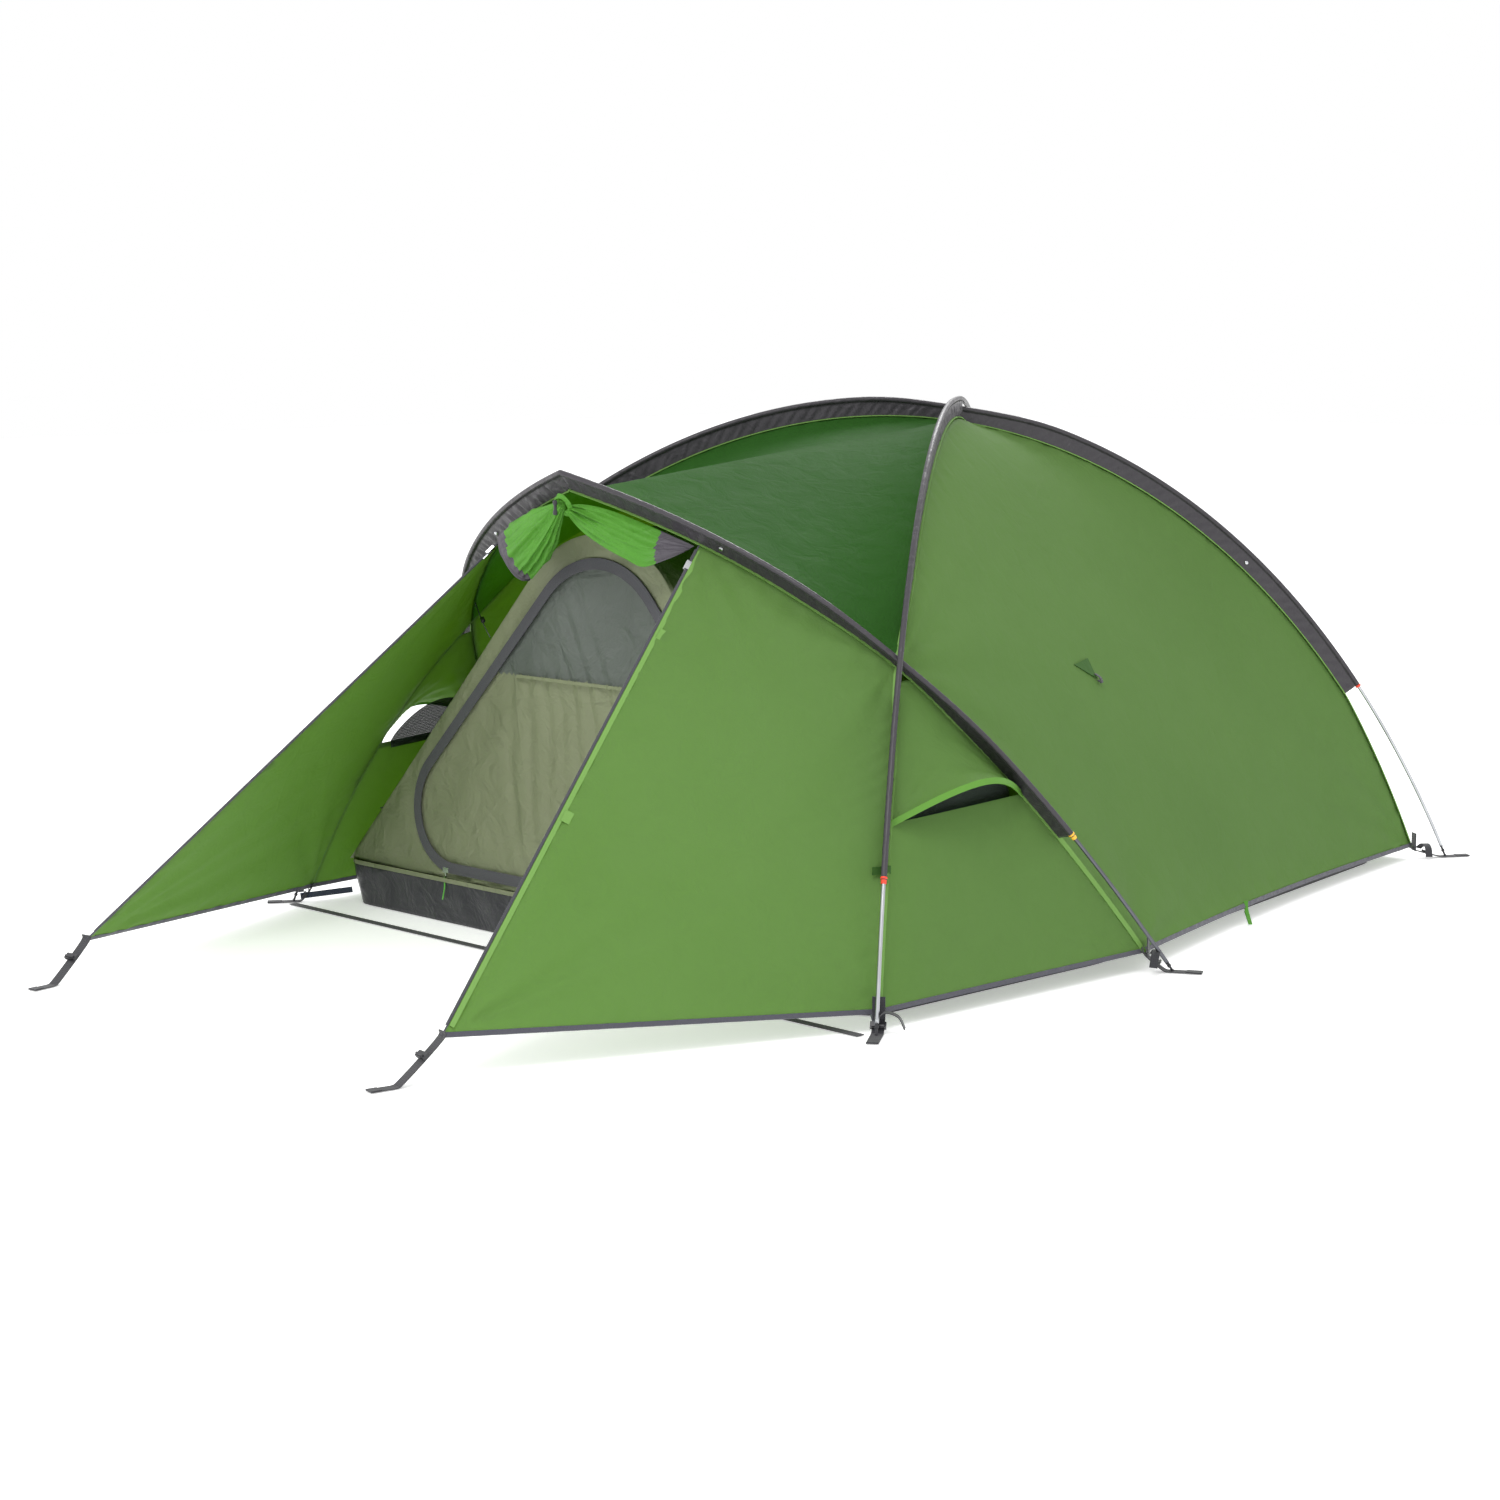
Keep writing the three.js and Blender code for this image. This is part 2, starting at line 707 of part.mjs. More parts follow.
function addFabric(name, edges, cols, rows, gap, material, pinned) {
  const grid = stretchedGrid(edges, cols, rows, gap, pinned);
  addPiece(name, sheetGeometry(grid, fabric), material);
}

const along = (line, t0, t1) => (s) => line.seam(THREE.MathUtils.lerp(t0, t1, s));
const straight = (a, b) => (s) => blend(a, b, s);

// ---------- Fly ----------

const frontCorner = domes.right.seam(domeHemFront);
const archCorner = arch.seam(archHemAt);
const rearCorner = mirrored(domes.right.seam(domeHemRear));
const pegCorner = vec(porchCorner.x, porchCorner.y, porchCorner.z);
const doorTopAt = arch.find((t) => -arch.seam(t).x, -doorTopX, archShoulder, 0.5);
const doorTopCorner = arch.seam(doorTopAt);

// The roof is held up along a taut ridge from the brow to the crossing of the dome poles.
function addRoof() {
  const steps = 10;
  const crossing = domes.right.seam(seamTop);
  const peak = arch.seam(0.5);
  const ridge = (i, j) => {
    if (i + j !== steps || i === 0 || j === 0) return null;
    const share = i / steps;
    return plus(blend(crossing, peak, share), UP, -roofRidgeDip * Math.sin(Math.PI * share));
  };
  addFabric("fly_roof_front", {
    bottom: along(arch, archShoulder, 0.5),
    right: (s) => arch.seam(THREE.MathUtils.lerp(0.5, 1 - archShoulder, s)),
    left: along(domes.right, domeShoulder, seamTop),
    top: along(domes.left, seamTop, domeShoulder),
  }, steps, steps, evenGap(seamGap), "roof_fabric", ridge);
}

function addRearSide(name, side) {
  const hem = (s) => {
    const p = blend(archCorner, rearCorner, s);
    const inward = vec(-1, 0, 0);
    return p.addScaledVector(inward, sideHemDip * Math.sin(Math.PI * s));
  };
  addFabric(`fly_side_${name}`, mirrorEdges({
    bottom: hem,
    top: along(domes.right, domeShoulder, seamTop),
    left: along(arch, archHemAt, archShoulder),
    right: along(domes.left, domeHemRear, seamTop),
  }, side), 10, 9, evenGap(seamGap), "side_fabric");
}

const ventFrontAt = domes.right.find(seamHeight(domes.right), ventHeightFront, 0, 0.3);
const ventRearAt = arch.find(seamHeight(arch), ventHeightRear, 0, 0.4);
const ventFront = domes.right.seam(ventFrontAt);
const ventRear = arch.seam(ventRearAt);
const ventOutward = ventRear.clone().sub(ventFront).cross(UP).normalize();

function brimEdge(s) {
  const lift = Math.sin(Math.PI * s);
  return plus(plus(blend(ventFront, ventRear, s), ventOutward, brimOut * lift), UP, brimUp * lift);
}

function addVentPanels(name, side) {
  const domeTip = domes.right.after(domeShoulder, -hoodTipBack);
  const archTip = arch.after(archShoulder, -hoodTipBack);
  const tipLeft = domes.right.seam(domeTip);
  const tipRight = arch.seam(archTip);
  addFabric(`vent_hood_${name}`, mirrorEdges({
    bottom: brimEdge,
    top: straight(tipLeft, tipRight),
    left: along(domes.right, ventFrontAt, domeTip),
    right: along(arch, ventRearAt, archTip),
  }, side), 8, 6, evenGap(seamGap), "side_fabric");
  addFabric(`fly_lower_${name}`, mirrorEdges({
    bottom: straight(frontCorner, archCorner),
    top: straight(ventFront, ventRear),
    left: along(domes.right, domeHemFront, ventFrontAt),
    right: along(arch, archHemAt, ventRearAt),
  }, side), 7, 5, evenGap(seamGap), "side_fabric");
}

function addVentNet(name, side) {
  const inset = plus(vec(0, 0, 0), ventOutward, -ventMeshSet);
  const edge = (height) => (s) => {
    const share = THREE.MathUtils.lerp(ventMeshMargin, 1 - ventMeshMargin, s);
    return blend(ventFront, ventRear, share).add(inset).addScaledVector(UP, height);
  };
  const lower = edge(-ventMeshDrop);
  const upper = edge(ventMeshHeight);
  addFabric(`vent_net_${name}`, mirrorEdges({
    bottom: lower,
    top: (s) => blend(upper(s), lower(s), ventMeshRound * Math.abs(2 * s - 1) ** 2),
    left: straight(lower(0), blend(upper(0), lower(0), ventMeshRound)),
    right: straight(lower(1), blend(upper(1), lower(1), ventMeshRound)),
  }, side), 6, 2, evenGap(0), "net");
}

function addPorchPanel(name, side) {
  addFabric(`fly_porch_${name}`, mirrorEdges({
    bottom: straight(pegCorner, frontCorner),
    top: along(arch, doorTopAt, archShoulder),
    left: straight(pegCorner, doorTopCorner),
    right: along(domes.right, domeHemFront, domeShoulder),
  }, side), 9, 9, { ...evenGap(seamGap), left: zipInset }, "side_fabric");
}

function addRearWall() {
  const tip = domes.right.after(seamTop, rearTipBack);
  const rightSeam = along(domes.left, domeHemRear, tip);
  const leftSeam = along(domes.right, domeHemRear, tip);
  addFabric("fly_rear_wall", {
    bottom: (s) => {
      const p = blend(rearCorner, mirrored(rearCorner), s);
      return p.addScaledVector(vec(0, -1, 0), sideHemDip * Math.sin(Math.PI * s));
    },
    top: straight(rightSeam(1), leftSeam(1)),
    left: rightSeam,
    right: leftSeam,
  }, 9, 9, evenGap(seamGap), "side_fabric");
}

addRoof();
addRearWall();
for (const [name, side] of SIDES) {
  addRearSide(name, side);
  addVentPanels(name, side);
  addVentNet(name, side);
  addPorchPanel(name, side);
}

// ---------- Porch zips and their sliders ----------

function zipFrame(side) {
  const low = side > 0 ? pegCorner : mirrored(pegCorner);
  const high = side > 0 ? doorTopCorner : mirrored(doorTopCorner);
  const corner = side > 0 ? frontCorner : mirrored(frontCorner);
  const run = high.clone().sub(low);
  const length = run.length();
  run.normalize();
  const toPanel = corner.clone().sub(low);
  toPanel.addScaledVector(run, -toPanel.dot(run)).normalize();
  const face = run.clone().cross(toPanel);
  return { low, high, run, toPanel, face, length };
}

function addZip(name, side) {
  const { low, run, toPanel, face, length } = zipFrame(side);
  const span = length - zipEnd - zipTopEnd;
  const tape = new THREE.BoxGeometry(zipWidth, zipThick, span);
  const middle = plus(low, run, zipEnd + span / 2);
  addPiece(`porch_zip_${name}`, inFrame(tape, toPanel, face, run, middle), "zip");
  addPiece(`porch_zip_slider_${name}`, sliderGeometry(side, { low, run, toPanel, face, length }),
    "slider");
}

function sliderGeometry(side, { low, run, toPanel, face, length }) {
  const holeX = zipWidth / 2 + sliderPlay;
  const holeY = zipThick / 2 + sliderPlay;
  const x = holeX + sliderWall;
  const y = holeY + sliderWall;
  const shape = new THREE.Shape([
    new THREE.Vector2(-x, -y),
    new THREE.Vector2(x, -y),
    new THREE.Vector2(x, y),
    new THREE.Vector2(-x, y),
  ]);
  shape.holes.push(new THREE.Path([
    new THREE.Vector2(-holeX, -holeY),
    new THREE.Vector2(-holeX, holeY),
    new THREE.Vector2(holeX, holeY),
    new THREE.Vector2(holeX, -holeY),
  ]));
  const body = new THREE.ExtrudeGeometry(shape, { depth: sliderLength, bevelEnabled: false });
  const outer = side > 0 ? 1 : -1;
  const tab = new THREE.BoxGeometry(5, sliderWall, pullLength);
  tab.translate(0, outer * (y + sliderWall / 2 - 0.2), sliderLength / 2 - pullLength / 2);
  const solid = asSolid(body).add(asSolid(tab));
  const base = plus(low, run, length - zipTopEnd - sliderDown - sliderLength);
  return inFrame(fromSolid(solid), toPanel, face, run, base);
}

for (const [name, side] of SIDES) addZip(name, side);

// ---------- Rolled porch door and its toggle ----------

function rollPath(x) {
  const t = arch.find((s) => -arch.seam(s).x, -x, archShoulder, 1 - archShoulder);
  return arch.seam(t);
}

function rollRadius(x) {
  const share = Math.abs(x) / rollReach;
  const lobe = Math.sin(Math.PI * Math.min(1, share ** 0.8));
  const ends = THREE.MathUtils.lerp(rollWaist, rollTip, share);
  return ends + (rollLobe - ends) * lobe;
}

function addDoorRoll() {
  const rings = [];
  for (let i = 0; i <= rollRings; i += 1) {
    const x = THREE.MathUtils.lerp(rollReach, -rollReach, i / rollRings);
    const radius = rollRadius(x);
    const centre = rollPath(x).add(vec(0, -rollForward, -radius - rollDrop));
    rings.push({
      frame: { centre, lateral: vec(0, 1, 0), outward: UP },
      outer: circleSection(radius, 10).map(([a, b]) => [rollFlatness * a, b]),
    });
  }
  addPiece("porch_door_roll", loftAlong(rings), "door_fabric");
}

function addToggle() {
  const length = 34;
  const radius = 5;
  const waist = 3.4;
  const half = length / 2;
  const profile = [[0, -half], [radius, -half + 2], [radius, -8], [waist, -4], [waist, 4],
    [radius, 8], [radius, half - 2], [0, half]];
  const barrel = new THREE.LatheGeometry(profile.map(([r, h]) => new THREE.Vector2(r, h)), 8);
  barrel.rotateX(Math.PI / 2);
  const behind = rollPath(0);
  const y = behind.y - rollForward - rollFlatness * rollWaist - radius - 3;
  const mesh = addPiece("door_tie_toggle", barrel, "buckle");
  mesh.position.set(0, y, behind.z - rollWaist - rollDrop);
}

addDoorRoll();
addToggle();

// ---------- Inner tent ----------

const doorLean = Math.atan2(doorTop.up - doorCorner.up, doorCorner.x);
const doorSpan = Math.hypot(doorTop.up - doorCorner.up, doorCorner.x);
const doorSlope = doorLean + Math.asin((doorTop.radius - doorCorner.radius) / doorSpan);
const doorTurn = doorSlope + Math.PI / 2;

// The outline of the round-topped door, grown by a margin on every side.
function doorOutline(grow) {
  const outline = new THREE.Path();
  const r = doorCorner.radius + grow;
  outline.absarc(-doorCorner.x, doorCorner.up, r, -Math.PI / 2, doorTurn, true);
  outline.absarc(0, doorTop.up, doorTop.radius + grow, doorTurn, Math.PI - doorTurn, true);
  outline.absarc(doorCorner.x, doorCorner.up, r, Math.PI - doorTurn, -Math.PI / 2, true);
  return outline.getPoints(wallArcSteps);
}

const wallTopRadius = doorTop.radius + wallMargin;
const wallReach = Math.hypot(floorFront.x, doorTop.up - wallFootUp);
const wallBearing = Math.atan2(wallFootUp - doorTop.up, floorFront.x);
const wallTurn = wallBearing + Math.acos(wallTopRadius / wallReach);

function wallOutline() {
  const outline = new THREE.Path();
  outline.moveTo(floorFront.x, wallFootUp);
  outline.lineTo(-floorFront.x, wallFootUp);
  outline.absarc(0, doorTop.up, wallTopRadius, Math.PI - wallTurn, wallTurn, true);
  return outline.getPoints(wallArcSteps);
}

const leaningWall = new THREE.Group();
leaningWall.position.set(0, wallFootY, 0);
leaningWall.rotation.x = Math.PI / 2 - wallLean;
tent.add(leaningWall);

function flatSheet(shape) {
  const sheet = new THREE.ExtrudeGeometry(shape, { depth: fabric, bevelEnabled: false });
  return sheet.translate(0, 0, -fabric);
}

function addFrontWall() {
  const wall = new THREE.Shape(wallOutline());
  wall.holes.push(new THREE.Path(doorOutline(innerZipGap).reverse()));
  addPiece("inner_front_wall", flatSheet(wall), "inner_fabric", leaningWall);
  const door = new THREE.Shape(doorOutline(0));
  addPiece("inner_door", flatSheet(door), "inner_fabric", leaningWall);
}

function addInnerSlider() {
  const rest = THREE.MathUtils.degToRad(-100);
  const radius = doorCorner.radius + innerZipGap / 2;
  const body = new THREE.BoxGeometry(20, 12, 4);
  const pull = new THREE.BoxGeometry(4, 26, 2);
  pull.translate(0, -15, 0.5);
  const mesh = addPiece("inner_zip_slider", fromSolid(asSolid(body).add(asSolid(pull))), "slider",
    leaningWall);
  mesh.position.set(
    -doorCorner.x + radius * Math.cos(rest),
    doorCorner.up + radius * Math.sin(rest),
    3,
  );
}

const leanPoint = (x, up) =>
  vec(x, wallFootY + up * Math.sin(wallLean), up * Math.cos(wallLean));

// The right-hand edge of the front wall from its foot to the ridge
function wallEdge(s) {
  const tangentPoint = [wallTopRadius * Math.cos(wallTurn),
    doorTop.up + wallTopRadius * Math.sin(wallTurn)];
  const straightRun = Math.hypot(floorFront.x - tangentPoint[0], tangentPoint[1] - wallFootUp);
  const arcRun = wallTopRadius * (Math.PI / 2 - wallTurn);
  const at = s * (straightRun + arcRun);
  if (at < straightRun) {
    const share = at / straightRun;
    return leanPoint(THREE.MathUtils.lerp(floorFront.x, tangentPoint[0], share),
      THREE.MathUtils.lerp(wallFootUp, tangentPoint[1], share));
  }
  const angle = wallTurn + (at - straightRun) / wallTopRadius;
  return leanPoint(wallTopRadius * Math.cos(angle), doorTop.up + wallTopRadius * Math.sin(angle));
}

const innerRidge = (line) => (t) => plus(line.base(t), line.outward(t), -innerStand);
const wallFootZ = tubHeight + innerGap;
const rearFootPoint = vec(floorRear.x, floorRear.y, wallFootZ);
const innerTop = domes.left.find((t) => innerRidge(domes.left)(t).x, 0, 0.2, 0.9);
const ridgeFoot = domes.left.find(
  (t) => innerRidge(domes.left)(t).z, wallFootZ, 0.8, 1,
);

// The rear ridge under the dome pole, eased at its foot to meet the corner of the floor
function rearRidge(s) {
  const path = innerRidge(domes.left);
  const p = path(THREE.MathUtils.lerp(ridgeFoot, innerTop, s));
  const ease = rearFootPoint.clone().sub(path(ridgeFoot));
  return p.addScaledVector(ease, (1 - s) ** 2);
}

function footLine(s) {
  const cornerShare = 1 / 3;
  const front = vec(floorFront.x, floorFront.y, wallFootZ);
  const middle = vec(floorSide.x, floorSide.y, wallFootZ);
  if (s < cornerShare) return blend(front, middle, s / cornerShare);
  return blend(middle, rearFootPoint, (s - cornerShare) / (1 - cornerShare));
}

function ridgeLine(s) {
  const p = blend(wallEdge(1), rearRidge(1), s);
  p.z -= ridgeSag * Math.sin(Math.PI * s);
  return p;
}

function addInnerSide(name, side) {
  addFabric(`inner_side_${name}`, mirrorEdges({
    bottom: footLine,
    top: ridgeLine,
    left: wallEdge,
    right: rearRidge,
  }, side), 9, 8, evenGap(innerGap), "inner_fabric");
}

function addInnerRear() {
  const share = 0.95;
  const rightEdge = (s) => rearRidge(s * share);
  const leftEdge = (s) => mirrored(rearRidge(s * share));
  addFabric("inner_rear_wall", {
    bottom: straight(rearFootPoint, mirrored(rearFootPoint)),
    top: straight(rightEdge(1), leftEdge(1)),
    left: rightEdge,
    right: leftEdge,
  }, 7, 7, evenGap(innerGap), "inner_fabric");
}

// The bathtub floor: one sheet turned up all round.
function addFloor() {
  const half = [floorFront, floorSide, floorRear];
  const loop = [...half, ...half.map((p) => ({ x: -p.x, y: p.y })).reverse()];
  const centre = { x: 0, y: 0 };
  const ring = (pull, z) => loop.map((p) => {
    const reach = Math.hypot(p.x - centre.x, p.y - centre.y);
    const share = (reach - pull) / reach;
    return vec(p.x * share, p.y * share, z);
  });
  const rings = [ring(tubSpread, 0), ring(0, tubHeight), ring(tubWallSheet, tubHeight),
    ring(tubSpread + tubWallSheet, tubSheet)];
  const points = rings.flat();
  const count = loop.length;
  const faces = [];
  for (let layer = 0; layer < 3; layer += 1) {
    for (let i = 0; i < count; i += 1) {
      const j = (i + 1) % count;
      const [a, b, c, d] = [layer * count + i, layer * count + j, (layer + 1) * count + j,
        (layer + 1) * count + i];
      faces.push([a, b, c], [a, c, d]);
    }
  }
  const flat = loop.map((p) => new THREE.Vector2(p.x, p.y));
  for (const [a, b, c] of THREE.ShapeUtils.triangulateShape(flat, [])) {
    faces.push([a, c, b]);
    faces.push([3 * count + a, 3 * count + b, 3 * count + c]);
  }
  addPiece("bathtub_floor", closedGeometry(points, faces), "groundsheet");
}

addFrontWall();
addInnerSlider();
addFloor();
addInnerRear();
for (const [name, side] of SIDES) addInnerSide(name, side);

// ---------- Webbing, buckles and the base strap ----------

// A strap from a corner of the fly down to the ground and out to its peg slot.
function strapParts(corner, foot, groundAt, end, eyeletAt) {
  const out = foot.clone().sub(corner).setZ(0).normalize();
  const across = vec(-out.y, out.x, 0);
  const startRun = 5;
  const startZ = corner.z - 5;
  const armRun = groundAt - startRun;
  const armLength = Math.hypot(armRun, startZ);
  const lean = [armRun / armLength, -startZ / armLength];
  const thickX = -lean[1] * webThick;
  const thickZ = lean[0] * webThick;
  const bend = (webThick - thickZ) / Math.tan(Math.acos(lean[0])) || 0;
  const side = new THREE.Shape([
    new THREE.Vector2(startRun, startZ),
    new THREE.Vector2(groundAt, 0),
    new THREE.Vector2(end, 0),
    new THREE.Vector2(end, webThick),
    new THREE.Vector2(groundAt + thickX - bend, webThick),
    new THREE.Vector2(startRun + thickX, startZ + thickZ),
  ]);
  const strap = new THREE.ExtrudeGeometry(side, { depth: webWidth, bevelEnabled: false });
  strap.translate(0, 0, -webWidth / 2);
  let solid = asSolid(strap);
  const cut = (shape, at) => {
    const tool = new THREE.ExtrudeGeometry(shape, { depth: 20, bevelEnabled: false });
    tool.translate(0, 0, -10);
    tool.rotateX(Math.PI / 2);
    tool.translate(at, 0, 0);
    solid = solid.subtract(asSolid(tool));
  };
  if (eyeletAt) {
    const eyelet = new THREE.Shape();
    eyelet.absarc(0, 0, eyeletRadius, 0, 2 * Math.PI, false);
    const round = new THREE.ExtrudeGeometry(eyelet, {
      depth: 20,
      bevelEnabled: false,
      curveSegments: 6,
    });
    round.translate(0, 0, -10);
    round.rotateX(Math.PI / 2);
    round.translate(eyeletAt, 0, 0);
    solid = solid.subtract(asSolid(round));
  }
  const slotX = pegSlot.length / 2;
  const slotY = pegSlot.width / 2;
  cut(new THREE.Shape([
    new THREE.Vector2(-slotX, -slotY),
    new THREE.Vector2(slotX, -slotY),
    new THREE.Vector2(slotX, slotY),
    new THREE.Vector2(-slotX, slotY),
  ]), end - slotX - 6);
  const origin = vec(corner.x, corner.y, 0);
  const place = (geometry) => inFrame(geometry, out, UP, across.clone().negate(), origin);
  return { strap: place(fromSolid(solid)), place, lean, startRun, startZ, armLength };
}

// A ladder-lock buckle: a frame that the strap runs through, with a lifting bar on top.
function ladderLock({ place, lean, startRun, startZ, armLength }, share) {
  const holeX = webThick + bucklePlay;
  const holeZ = webWidth / 2 + bucklePlay;
  const outerX = holeX + buckleBar;
  const outerZ = holeZ + buckleRail;
  const ring = new THREE.Shape([
    new THREE.Vector2(-bucklePlay - buckleBar, -outerZ),
    new THREE.Vector2(outerX, -outerZ),
    new THREE.Vector2(outerX, outerZ),
    new THREE.Vector2(-bucklePlay - buckleBar, outerZ),
  ]);
  ring.holes.push(new THREE.Path([
    new THREE.Vector2(-bucklePlay, -holeZ),
    new THREE.Vector2(-bucklePlay, holeZ),
    new THREE.Vector2(holeX, holeZ),
    new THREE.Vector2(holeX, -holeZ),
  ]));
  const frame = new THREE.ExtrudeGeometry(ring, { depth: buckleLength, bevelEnabled: false });
  const bar = new THREE.BoxGeometry(2 * buckleBar, webWidth, 4);
  bar.translate(outerX + buckleBar - 0.4, 0, buckleLength - 4);
  const solid = asSolid(frame).add(asSolid(bar));
  const geometry = fromSolid(solid);
  // Local x is off the strap's face, local y across it, local z down the arm
  const down = vec(lean[0], lean[1], 0);
  const off = vec(-lean[1], lean[0], 0);
  const start = vec(startRun, startZ, 0);
  const from = plus(start, down, armLength * share - buckleLength / 2);
  inFrame(geometry, off, off.clone().cross(down).negate(), down, from);
  return place(geometry);
}

function addStrap(name, corner, foot, groundAt, end, eyeletAt, share) {
  const made = strapParts(corner, foot, groundAt, end, eyeletAt);
  addPiece(`${name}_strap`, made.strap, "webbing");
  addPiece(`${name}_buckle`, ladderLock(made, share), "buckle");
}

function addFeet(name, side) {
  const turn = (p) => (side > 0 ? p.clone() : mirrored(p));
  const feet = [
    ["front", frontCorner, vec(frontFoot.x, frontFoot.y, 0)],
    ["arch", archCorner, vec(archFoot.x, archFoot.y, 0)],
    ["rear", rearCorner, vec(rearFoot.x, rearFoot.y, 0)],
  ];
  for (const [place, corner, foot] of feet) {
    const reach = Math.hypot(foot.x - corner.x, foot.y - corner.y);
    addStrap(`${place}_foot_${name}`, turn(corner), turn(foot), reach - 2.4 * eyeletRadius,
      reach + footTail, reach, 0.5);
  }
  const peg = plus(pegCorner, vec(-0.18, -1, 0).normalize(), pegStrapReach);
  addStrap(`porch_peg_${name}`, turn(pegCorner), turn(peg), pegStrapGround, pegStrapReach, 0, 0.32);
}

function addBaseStrap() {
  const strap = new THREE.BoxGeometry(2 * baseStrapEnd, baseStrapWidth, webThick);
  const mesh = addPiece("front_base_strap", strap, "webbing");
  mesh.position.set(0, baseStrapY, webThick / 2);
}

for (const [name, side] of SIDES) addFeet(name, side);
addBaseStrap();

export default tent;
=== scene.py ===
"""The looks of a three-pole trekking dome: fabric, sleeves, webbing, zips and the rolled door."""
import math

import bmesh
import bpy
import numpy as np
from mathutils import Matrix, Vector


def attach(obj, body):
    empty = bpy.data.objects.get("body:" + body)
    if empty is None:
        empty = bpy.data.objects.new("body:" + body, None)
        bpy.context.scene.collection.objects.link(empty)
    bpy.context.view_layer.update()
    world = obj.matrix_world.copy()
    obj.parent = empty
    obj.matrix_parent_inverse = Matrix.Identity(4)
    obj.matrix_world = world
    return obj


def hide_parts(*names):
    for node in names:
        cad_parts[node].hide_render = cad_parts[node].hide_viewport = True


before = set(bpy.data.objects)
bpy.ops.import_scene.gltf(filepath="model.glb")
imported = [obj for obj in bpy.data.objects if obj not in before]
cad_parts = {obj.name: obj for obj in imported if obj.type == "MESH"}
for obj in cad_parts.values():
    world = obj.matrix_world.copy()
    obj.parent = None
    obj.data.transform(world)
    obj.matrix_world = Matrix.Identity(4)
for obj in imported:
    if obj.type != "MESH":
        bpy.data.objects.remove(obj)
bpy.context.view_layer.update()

TENT = "tent"

# ---------- Driving sizes, in metres ----------

FRONT_FOOT = (0.968, -1.213)
REAR_FOOT = (0.731, 1.215)
ARCH_FOOT = (1.041, -0.357)
BROW = (-1.169, 1.068)
DOME_FRONT_LEAD = (0.542, 1.502, -0.012)
DOME_REAR_LEAD = (0.749, 1.696, -0.021)
ARCH_FOOT_LEAD = (-0.121, 0.707, -0.005)
ARCH_BROW_LEAD = (0.704, -0.244, -0.015)
ARCH_PLUMB_Y = -0.357
POLE_RADIUS = 0.00425
SLEEVE_RADIUS = 0.0060
CROSSING_LIFT = 0.009
CROSSING_SPREAD = 0.26
STAND_FRONT, STAND_MIDDLE, STAND_REAR, STAND_ARCH = 0.030, 0.042, 0.080, 0.046
CLIP_FRONT, CLIP_REAR, CLIP_ARCH = 0.287, 0.459, 0.316
NOTCH_HALF, NOTCH_RUN = 0.062, 0.026
HEM_FRONT, HEM_ARCH, HEM_REAR = 0.035, 0.040, 0.030
SIDE_HEM_DIP = 0.028
PORCH_CORNER = np.array([0.611, -2.008, 0.081])
DOOR_TOP_X = 0.310
VENT_FRONT, VENT_REAR = 0.382, 0.402
BRIM_OUT, BRIM_UP = 0.075, 0.065
FLOOR = ((0.868, -1.128), (0.900, -0.400), (0.640, 1.050))
TUB_HEIGHT = 0.105
WALL_FOOT_Y = -1.120
WALL_LEAN = math.atan(0.069)
DOOR_CORNER = (0.468, 0.27326, 0.145)
DOOR_TOP = (0.633, 0.239)
WALL_MARGIN = 0.060
INNER_STAND = 0.112
RIDGE_SAG = 0.024
GAUZE_UP = 0.600
UP = np.array([0.0, 0.0, 1.0])
MIRROR = np.array([-1.0, 1.0, 1.0])
SIDES = (("right", 1), ("left", -1))


# ---------- Camera, light and floor ----------

def aim_camera():
    """A long lens at a low three-quarter angle, square to the right-hand porch."""
    yaw, pitch, roll = (math.radians(a) for a in (-45.464, -7.998, -0.396))
    ahead = Vector((math.sin(yaw) * math.cos(pitch), math.cos(yaw) * math.cos(pitch), math.sin(pitch)))
    right = Vector((math.cos(yaw), -math.sin(yaw), 0))
    up = right.cross(ahead)
    side = right * math.cos(roll) + up * math.sin(roll)
    top = up * math.cos(roll) - right * math.sin(roll)
    data = bpy.data.cameras.new("camera")
    data.sensor_width = 36
    data.lens = 36 * 2849.8 / 1500
    data.shift_x = -2.54 / 1500
    data.shift_y = -17.2 / 1500
    data.clip_end = 60
    camera = bpy.data.objects.new("camera", data)
    turn = Matrix((side, top, -ahead)).transposed().to_4x4()
    camera.matrix_world = Matrix.Translation((4.672, -5.191, 1.364)) @ turn
    bpy.context.scene.collection.objects.link(camera)
    bpy.context.scene.camera = camera


def area_light(name, place, target, size, power, shape="RECTANGLE"):
    data = bpy.data.lights.new(name, "AREA")
    data.shape = shape
    data.size, data.size_y = size
    data.energy = power
    light = bpy.data.objects.new(name, data)
    aim = Vector(target) - Vector(place)
    light.matrix_world = Matrix.Translation(place) @ aim.to_track_quat("-Z", "Y").to_matrix().to_4x4()
    bpy.context.scene.collection.objects.link(light)


def light_studio():
    world = bpy.data.worlds.new("studio")
    bpy.context.scene.world = world
    world.use_nodes = True
    world.node_tree.nodes["Background"].inputs["Color"].default_value = (1, 1, 1, 1)
    world.node_tree.nodes["Background"].inputs["Strength"].default_value = 1.0
    area_light("key", (2.2, -3.6, 4.8), (0, -0.4, 0.3), (2.6, 2.0), 120)
    area_light("fill", (-4.2, -4.0, 2.4), (0, -0.8, 0.4), (3.0, 2.2), 40)
    area_light("back", (-2.5, 4.0, 5.0), (0, 0, 0.5), (3.0, 2.2), 160)
    bpy.context.scene.view_settings.view_transform = "Standard"


# ---------- Small helpers ----------

def unit(v):
    return v / np.maximum(np.linalg.norm(v, axis=-1, keepdims=True), 1e-12)


def lerp(a, b, t):
    return a + (b - a) * t


